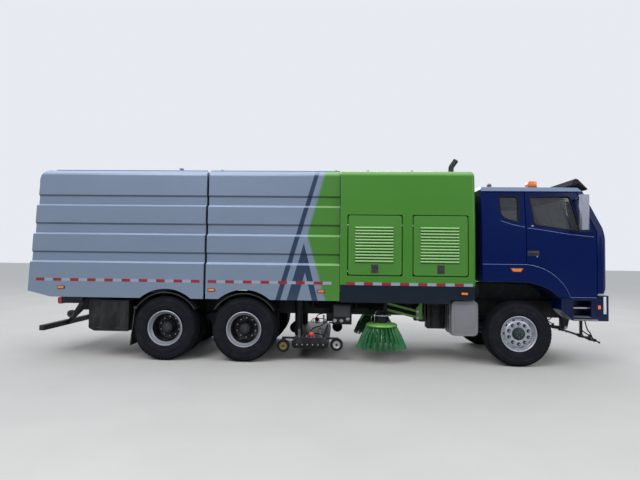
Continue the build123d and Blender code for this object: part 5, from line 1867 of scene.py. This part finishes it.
@dataclass
class SweepGear:
    """Fittings of the suction nozzle and the side brushes: casters, hoses, springs, skirts and fasteners."""

    brush: tuple[float, float] = (1.17, 0.83)

    def casters(self) -> None:
        """The casters' hubs, the rear ones in a yellow darkened as painted shade, with their axle nuts."""
        profile = mm("18,0 60,0 64,3 64,7 52,6 46,2 18,4")
        for place, x, z, finish in (("rear", REAR_X + 2.008, 0.261, "yellow_cap"),
                                    ("front", REAR_X + 2.919, 0.296, "bare_steel")):
            body = f"nozzle_wheels_{place}"
            seat(both(lathe(profile, (x, 1.0825, z), 40)), f"caster_hubs_{place}", finish, body)
            seat(both(heads([(x, 1.087, z)], (0, 1, 0), 0.016, 0.014)), f"caster_nuts_{place}", "cast_dark",
                 body)

    def coil(self, foot: Point, height: float, radius: float, wire: float, turns: int) -> Mesh:
        """A coil spring that stands on its foot."""
        x, y, z = foot
        count = turns * 14
        points = [(x + radius * math.cos(k * math.tau / 14), y + radius * math.sin(k * math.tau / 14),
                   z + height * k / count) for k in range(count + 1)]
        return pipe(points, wire, 0.001, 2)

    def nozzle(self) -> None:
        """The nozzle's side skirts, springs, hoses, links and the red pressure ball."""
        rear, front = MID_X + 0.8, MID_X + 1.43
        skirt = slab((rear + 0.03, front - 0.03), (1.046, 1.058), (0.222, 0.3), 0.003)
        pair(skirt, "nozzle_skirt", "hose_rubber", "nozzle")
        bolts = heads([(rear + 0.09 + k * 0.09, 1.057, 0.283) for k in range(6)], (0, 1, 0), 0.009, 0.008)
        pair(bolts, "nozzle_skirt_bolts", "bare_steel", "nozzle")
        hoses = [
            pipe([(front - 0.1, 0.96, 0.4), (front - 0.05, 0.97, 0.5), (front - 0.02, 0.9, 0.6)],
                 0.012, 0.05),
            pipe([(rear + 0.3, 0.98, 0.41), (rear + 0.34, 0.99, 0.55), (rear + 0.52, 0.94, 0.6),
                  (rear + 0.6, 0.9, 0.68)], 0.01, 0.06),
            pipe([(rear + 0.2, 1.0, 0.4), (rear + 0.26, 1.01, 0.48), (rear + 0.5, 1.0, 0.46),
                  (front - 0.06, 0.99, 0.41)], 0.008, 0.06)]
        pair(hoses, "nozzle_hoses", "hose_rubber", "nozzle")
        ball_at = (-0.046, 1.0, 0.452)
        clear()
        bpy.ops.mesh.primitive_uv_sphere_add(segments=32, ring_count=20, radius=0.05, location=ball_at)
        ball = settle(bpy.context.object)
        edit(ball)
        bpy.ops.transform.resize(value=(1, 1, 0.94), center_override=ball_at)
        done()
        seam = lathe(mm("47,-5 52.5,-3 52.5,3 47,5"), ball_at, 40, Way.UP)
        pair([ball, seam], "pressure_ball", "red_paint", "nozzle")
        stem = [rod((ball_at[0], ball_at[1], 0.388), (ball_at[0], ball_at[1], 0.412), 0.018, 24, 0.003),
                rod((ball_at[0], ball_at[1], 0.392), (ball_at[0], ball_at[1], 0.402), 0.026, 6, 0.002)]
        pair(stem, "pressure_stem", "bare_steel", "nozzle")
        springs = [self.coil((x, 0.93, 0.404), 0.13, 0.022, 0.0042, 7) for x in (rear + 0.12, front - 0.15)]
        caps = [rod((x, 0.93, 0.532), (x, 0.93, 0.542), 0.03, 24, 0.002) for x in (rear + 0.12, front - 0.15)]
        rods = [rod((x, 0.93, 0.398), (x, 0.93, 0.56), 0.008, 16) for x in (rear + 0.12, front - 0.15)]
        pair(springs, "nozzle_springs", "bare_steel", "nozzle", 60)
        pair(caps + rods, "nozzle_guides", "cast_dark", "nozzle")
        jets = []
        for k in range(4):
            x = rear + 0.12 + k * 0.13
            jets.append(rod((x, 1.02, 0.402), (x, 1.02, 0.426), 0.01, 6, 0.001))
            jets.append(rod((x, 1.02, 0.424), (x, 1.02, 0.44), 0.007, 16, 0.001))
        pair(jets, "nozzle_jets", "bare_steel", "nozzle")

    def brushes(self) -> None:
        """The motor's bright flange edge, cap screws, hoses and the water jet on its bracket."""
        x, y = self.brush
        body = "brush_head_*"
        edge = lathe(mm("162.5,-1.5 167.5,1 167.5,16 162.5,18.5 150,18.5 150,17 161,16.5 161,-1.5"),
                     (x, y, 0.778), 64, Way.UP)
        pair(edge, "motor_flange", "chequer", body)
        for side in Side:
            screws = heads([(x + 0.142 * math.cos(k), side.value * y + 0.142 * math.sin(k), 0.795)
                            for k in (0.5, 1.55, 2.6, 3.64, 4.7, 5.75)], (0, 0, 1), 0.01, 0.01)
            seat(screws, f"motor_screws_{side.word}", "bare_steel", f"brush_head_{side.word}")
        top = lathe(mm("0,75 34,75 46,68 52,50 52,6 70,0 70,-3 0,-3"), (x - 0.062, y - 0.055, 0.797), 40,
                    Way.UP)
        ports = [rod((x - 0.062, y - 0.055, z), (x - 0.132, y - 0.07, z), 0.012, 6) for z in (0.822, 0.852)]
        pair([top] + ports, "motor_cap", "cast_dark", body)
        hoses = [pipe([(x - 0.128, y - 0.07, z), (x - 0.19, y - 0.085, z + 0.01),
                       (x - 0.215, y - 0.16, z + 0.07), (x - 0.16, y - 0.235, z + 0.13)], 0.0095, 0.05)
                 for z in (0.822, 0.852)]
        pair(hoses, "motor_hoses", "hose_rubber", body)
        jet = [pipe([(x + 0.02, y - 0.1, 0.8), (x + 0.02, y - 0.1, 0.87), (x - 0.1, y + 0.12, 0.875),
                     (x - 0.13, y + 0.16, 0.8)], 0.007, 0.03),
               rod((x - 0.13, y + 0.16, 0.802), (x - 0.138, y + 0.168, 0.77), 0.011, 6, 0.001)]
        pair(jet, "brush_jet", "bare_steel", body)
        pins = [heads([(1.8, reach, z)], (0, way, 0), 0.016, 0.01)
                for z in (0.74, 0.85) for reach, way in ((0.797, 1), (0.723, -1))]
        pair(pins, "arm_pins", "bare_steel", "brush_post_*")

    def build(self) -> None:
        """Makes the sweeping gear's fittings."""
        self.casters()
        self.nozzle()
        self.brushes()


@dataclass
class Underbody:
    """Hoses, brake chambers, tank and engine fittings and fasteners on the frame and its axles."""

    rail_out: float = 0.435

    def rail(self) -> None:
        """Bolt rows and hose bundles along one frame rail."""
        places = []
        for x in (-4.3, -4.18, -3.3, -3.18, -2.05, -1.93, -0.55, -0.43, 0.78, 0.9, 2.02, 2.82, 2.94, 3.1,
                  4.62, 4.72):
            places += [(x, self.rail_out, z) for z in (0.79, 0.86, 0.93, 0.99)]
        pair(heads(places, (0, 1, 0)), "rail_bolts", "cast_dark")
        lines = []
        for k, (z, radius, sag) in enumerate(((0.955, 0.011, 0.01), (0.925, 0.009, 0.014),
                                              (0.9, 0.013, 0.012), (0.868, 0.008, 0.016))):
            y = self.rail_out + 0.016 + 0.006 * (k % 2)
            points = [(-0.16 + k * 0.02, y, z)]
            for step in range(1, 6):
                points.append((-0.16 + step * 0.3, y, z - (sag if step % 2 else 0.0)))
            points.append((1.62, y, z))
            lines.append(pipe(points, radius, 0.1, 2))
        pair(lines, "rail_hoses", "hose_rubber")
        clips = [slab((x - 0.011, x + 0.011), (self.rail_out + 0.001, self.rail_out + 0.038), (0.85, 0.972),
                      0.003) for x in (-0.05, 0.74, 1.34)]
        pair(clips, "hose_clips", "cast_dark")

    def brakes(self) -> None:
        """Spring brake chambers with their bands, rods and air hoses behind both driven axles."""
        cans, bands, hoses = [], [], []
        for x in (MID_X, REAR_X):
            y, z = 0.3, 0.6
            cans.append(lathe(mm("0,0 50,0 76,22 80,60 76,82 76,94 80,112 74,170 50,196 0,198"),
                              (x + 0.2, y, z), 36, Way.AHEAD))
            bands.append(lathe(mm("76,80 88,80 88,96 76,96"), (x + 0.2, y, z), 36, Way.AHEAD))
            bands.append(rod((x + 0.07, y, z), (x + 0.205, y, z), 0.012, 16))
            hoses.append(pipe([(x + 0.32, y, z + 0.07), (x + 0.32, y, z + 0.15), (x + 0.3, 0.2, z + 0.2),
                               (x + 0.28, 0.06, z + 0.22)], 0.009, 0.05, 3))
        pair(cans, "brake_chambers", "cast_dark")
        pair(bands, "brake_bands", "bare_steel")
        pair(hoses, "brake_hoses", "hose_rubber")

    def springs(self) -> None:
        """U-bolts with their nuts over both spring packs, and nuts on the hangers' pins."""
        bolts, nuts = [], []
        for x in (FRONT_X - 0.1, FRONT_X + 0.1):
            for y in (0.382, 0.482):
                bolts.append(rod((x, y, 0.455), (x, y, 0.69), 0.01, 12))
                nuts.append((x, y, 0.66))
        pair(bolts, "spring_bolts", "cast_dark")
        pins = [(FRONT_X + 0.05 + reach, 0.4895, 0.575) for reach in (-1.01, 1.01)]
        caps = [heads(nuts, (0, 0, 1), 0.017, 0.016), heads(pins, (0, 1, 0), 0.02, 0.016)]
        pair(caps, "spring_nuts", "bare_steel")

    def fuel(self) -> None:
        """The fuel tank's filler cap, the sender, strap bolts and lines."""
        x0, x1 = 2.306, 2.744
        cap = lathe(mm("0,30 30,30 40,24 46,16 46,2 39,-2 0,-2"), (x0 + 0.11, -1.09, 1.0765), 36, Way.UP)
        seat(cap, "fuel_cap", "black_plastic")
        panel = block((x0 + 0.052, -1.155, 0.548), (x1 - 0.052, -1.146, 1.02), 0.004, 3)
        rolled = [pipe([(x0 + 0.075, -1.149, 0.5), (x1 - 0.075, -1.149, 0.5), (x1 - 0.006, -1.149, 0.568),
                        (x1 - 0.006, -1.149, 1.0), (x1 - 0.075, -1.149, 1.068), (x0 + 0.075, -1.149, 1.068),
                        (x0 + 0.006, -1.149, 1.0), (x0 + 0.006, -1.149, 0.568), (x0 + 0.075, -1.149, 0.5)],
                       0.0075, 0.06, 3)]
        seat([panel] + rolled, "fuel_tank_end", "tank_alloy")
        sender = lathe(mm("0,12 24,12 34,8 36,-2 0,-2"), (2.56, -0.86, 1.0755), 28, Way.UP)
        bolts = heads([(x0 - 0.012, y, 0.8) for y in (-1.01, -0.7)], (-1, 0, 0), 0.012, 0.012)
        seat([sender, bolts], "fuel_fittings", "bare_steel")
        pads = []
        for y in (-1.01, -0.7):
            for x, push in ((x0 - 0.0125, -0.002), (x1 + 0.0125, 0.002)):
                pads.append(slab(sorted((x, x + push)), (y - 0.02, y + 0.02), (0.58, 1.0), 0.0008))
        seat(pads, "fuel_strap_pads", "hose_rubber", "root")
        run = mm("2560,-860,1086 2560,-860,1105 2560,-700,1108 2560,-500,1060 2620,-460,1000")
        line = pipe(run, 0.006, 0.03, 3)
        seat(line, "fuel_line", "hose_rubber")

    def engine(self) -> None:
        """Pulleys and filters on the road engine's block."""
        wheels = []
        for y, z, radius in ((0.0, 0.86, 0.095), (0.16, 1.02, 0.06), (-0.15, 1.06, 0.07), (0.02, 1.16, 0.08)):
            profile = [(0.0, 0.0), (radius - 0.02, 0.0), (radius, 0.004), (radius - 0.006, 0.012),
                       (radius, 0.02), (radius - 0.02, 0.026), (0.03, 0.02), (0.0, 0.02)]
            wheels.append(lathe(profile, (4.12, y, z), 36, Way.AHEAD))
        seat(wheels, "engine_pulleys", "cast_dark")
        cans = [lathe(mm("0,0 40,4 46,14 46,150 36,168 0,168"), (x, 0.378, 0.86), 28, Way.UP)
                for x in (3.62, 3.74)]
        pair(cans, "engine_filters", "grey_plastic")

    def build(self) -> None:
        """Makes the underbody."""
        for make in (self.fuel, self.engine, self.rail, self.brakes, self.springs):
            make()


@dataclass
class Studio:
    """Camera at the photograph's place, pale floor and soft lamps."""

    place: Point = (0.437, -9.252, 1.778)
    yaw: float = -2.46
    pitch: float = 2.08
    roll: float = -0.7
    focal_px: float = 476.6
    frame_px: float = 640.0
    sensor_mm: float = 36.0
    horizon: Colour = (0.34, 0.37, 0.4)
    zenith: Colour = (0.95, 1.0, 1.08)
    sky: float = 1.0
    backdrop: Colour = (0.8, 0.83, 0.88)

    def camera(self) -> None:
        """Places the camera."""
        yaw, pitch, roll = (math.radians(v) for v in (self.yaw, self.pitch, self.roll))
        forward = Vector((math.sin(yaw) * math.cos(pitch), math.cos(yaw) * math.cos(pitch), math.sin(pitch)))
        right = Vector((math.cos(yaw), -math.sin(yaw), 0))
        down = forward.cross(right)
        rolled = right * math.cos(roll) + down * math.sin(roll)
        below = -right * math.sin(roll) + down * math.cos(roll)
        turn = Matrix((rolled, -below, -forward)).transposed().to_4x4()
        data = bpy.data.cameras.new("camera")
        data.sensor_width = self.sensor_mm
        data.lens = self.focal_px / self.frame_px * self.sensor_mm
        data.clip_end = 400
        camera = bpy.data.objects.new("camera", data)
        camera.matrix_world = Matrix.Translation(self.place) @ turn
        bpy.context.scene.collection.objects.link(camera)
        bpy.context.scene.camera = camera

    def floor(self) -> None:
        """Lays the pale floor."""
        clear()
        bpy.ops.mesh.primitive_plane_add(size=160, location=(0, 0, 0))
        ground = bpy.context.object
        ground.name = "floor"
        graph = Graph("floor_finish")
        cloud = graph.noise(0.8, 5)
        fine = graph.noise(30.0, 4)
        pale = from_srgb(196, 194, 190)
        dim = from_srgb(182, 180, 176)
        graph.set(Base_Color=graph.blend(cloud, pale, dim), Roughness=0.85)
        graph.bump(fine, 0.15, 0.002)
        ground.data.materials.append(graph.material)

    def lamps(self) -> None:
        """Hangs the lamps and sets the world's light."""
        world = bpy.data.worlds.new("world")
        bpy.context.scene.world = world
        world.use_nodes = True
        tree = world.node_tree
        back = tree.nodes["Background"]
        coords = tree.nodes.new("ShaderNodeTexCoord")
        split = tree.nodes.new("ShaderNodeSeparateXYZ")
        ramp = tree.nodes.new("ShaderNodeValToRGB")
        tree.links.new(coords.outputs["Generated"], split.inputs[0])
        tree.links.new(split.outputs["Z"], ramp.inputs[0])
        ramp.color_ramp.elements[0].position = 0.02
        ramp.color_ramp.elements[0].color = (*self.horizon, 1)
        ramp.color_ramp.elements[1].position = 0.75
        ramp.color_ramp.elements[1].color = (*self.zenith, 1)
        tree.links.new(ramp.outputs[0], back.inputs["Color"])
        back.inputs["Strength"].default_value = self.sky
        plain = tree.nodes.new("ShaderNodeBackground")
        plain.inputs["Color"].default_value = (*self.backdrop, 1)
        path = tree.nodes.new("ShaderNodeLightPath")
        mixer = tree.nodes.new("ShaderNodeMixShader")
        tree.links.new(path.outputs["Is Camera Ray"], mixer.inputs[0])
        tree.links.new(back.outputs[0], mixer.inputs[1])
        tree.links.new(plain.outputs[0], mixer.inputs[2])
        tree.links.new(mixer.outputs[0], tree.nodes["World Output"].inputs["Surface"])
        for name, place, size, power, aim in (
                ("key", (-6.0, -13.0, 13.0), 9.0, 1500, (0, 0, 1.2)),
                ("fill", (12.0, -9.0, 8.0), 8.0, 600, (1, 0, 1.2)),
                ("back", (0.0, 13.0, 10.0), 10.0, 900, (0, 0, 1.5))):
            data = bpy.data.lights.new(name, "AREA")
            data.size = size
            data.energy = power
            lamp = bpy.data.objects.new(name, data)
            lamp.location = place
            lamp.rotation_euler = (Vector(aim) - Vector(place)).to_track_quat("-Z", "Y").to_euler()
            bpy.context.scene.collection.objects.link(lamp)

    def build(self) -> None:
        """Sets up the whole studio."""
        self.camera()
        self.floor()
        self.lamps()
        bpy.context.scene.view_settings.view_transform = "Standard"
        LOG.info("studio set")


def main() -> None:
    """Builds every sub-assembly in order."""
    logging.basicConfig(level=logging.INFO, format="%(name)s %(message)s")
    random.seed(7)
    Studio().build()
    for assembly in (RoadWheels(), SideBrush(), BodyTrim(), CabTrim(), CabInterior(), RearGear(), RoofGear(),
                     SweepGear(), Underbody()):
        assembly.build()
    Dressing().apply()


if __name__ == "__main__":
    main()
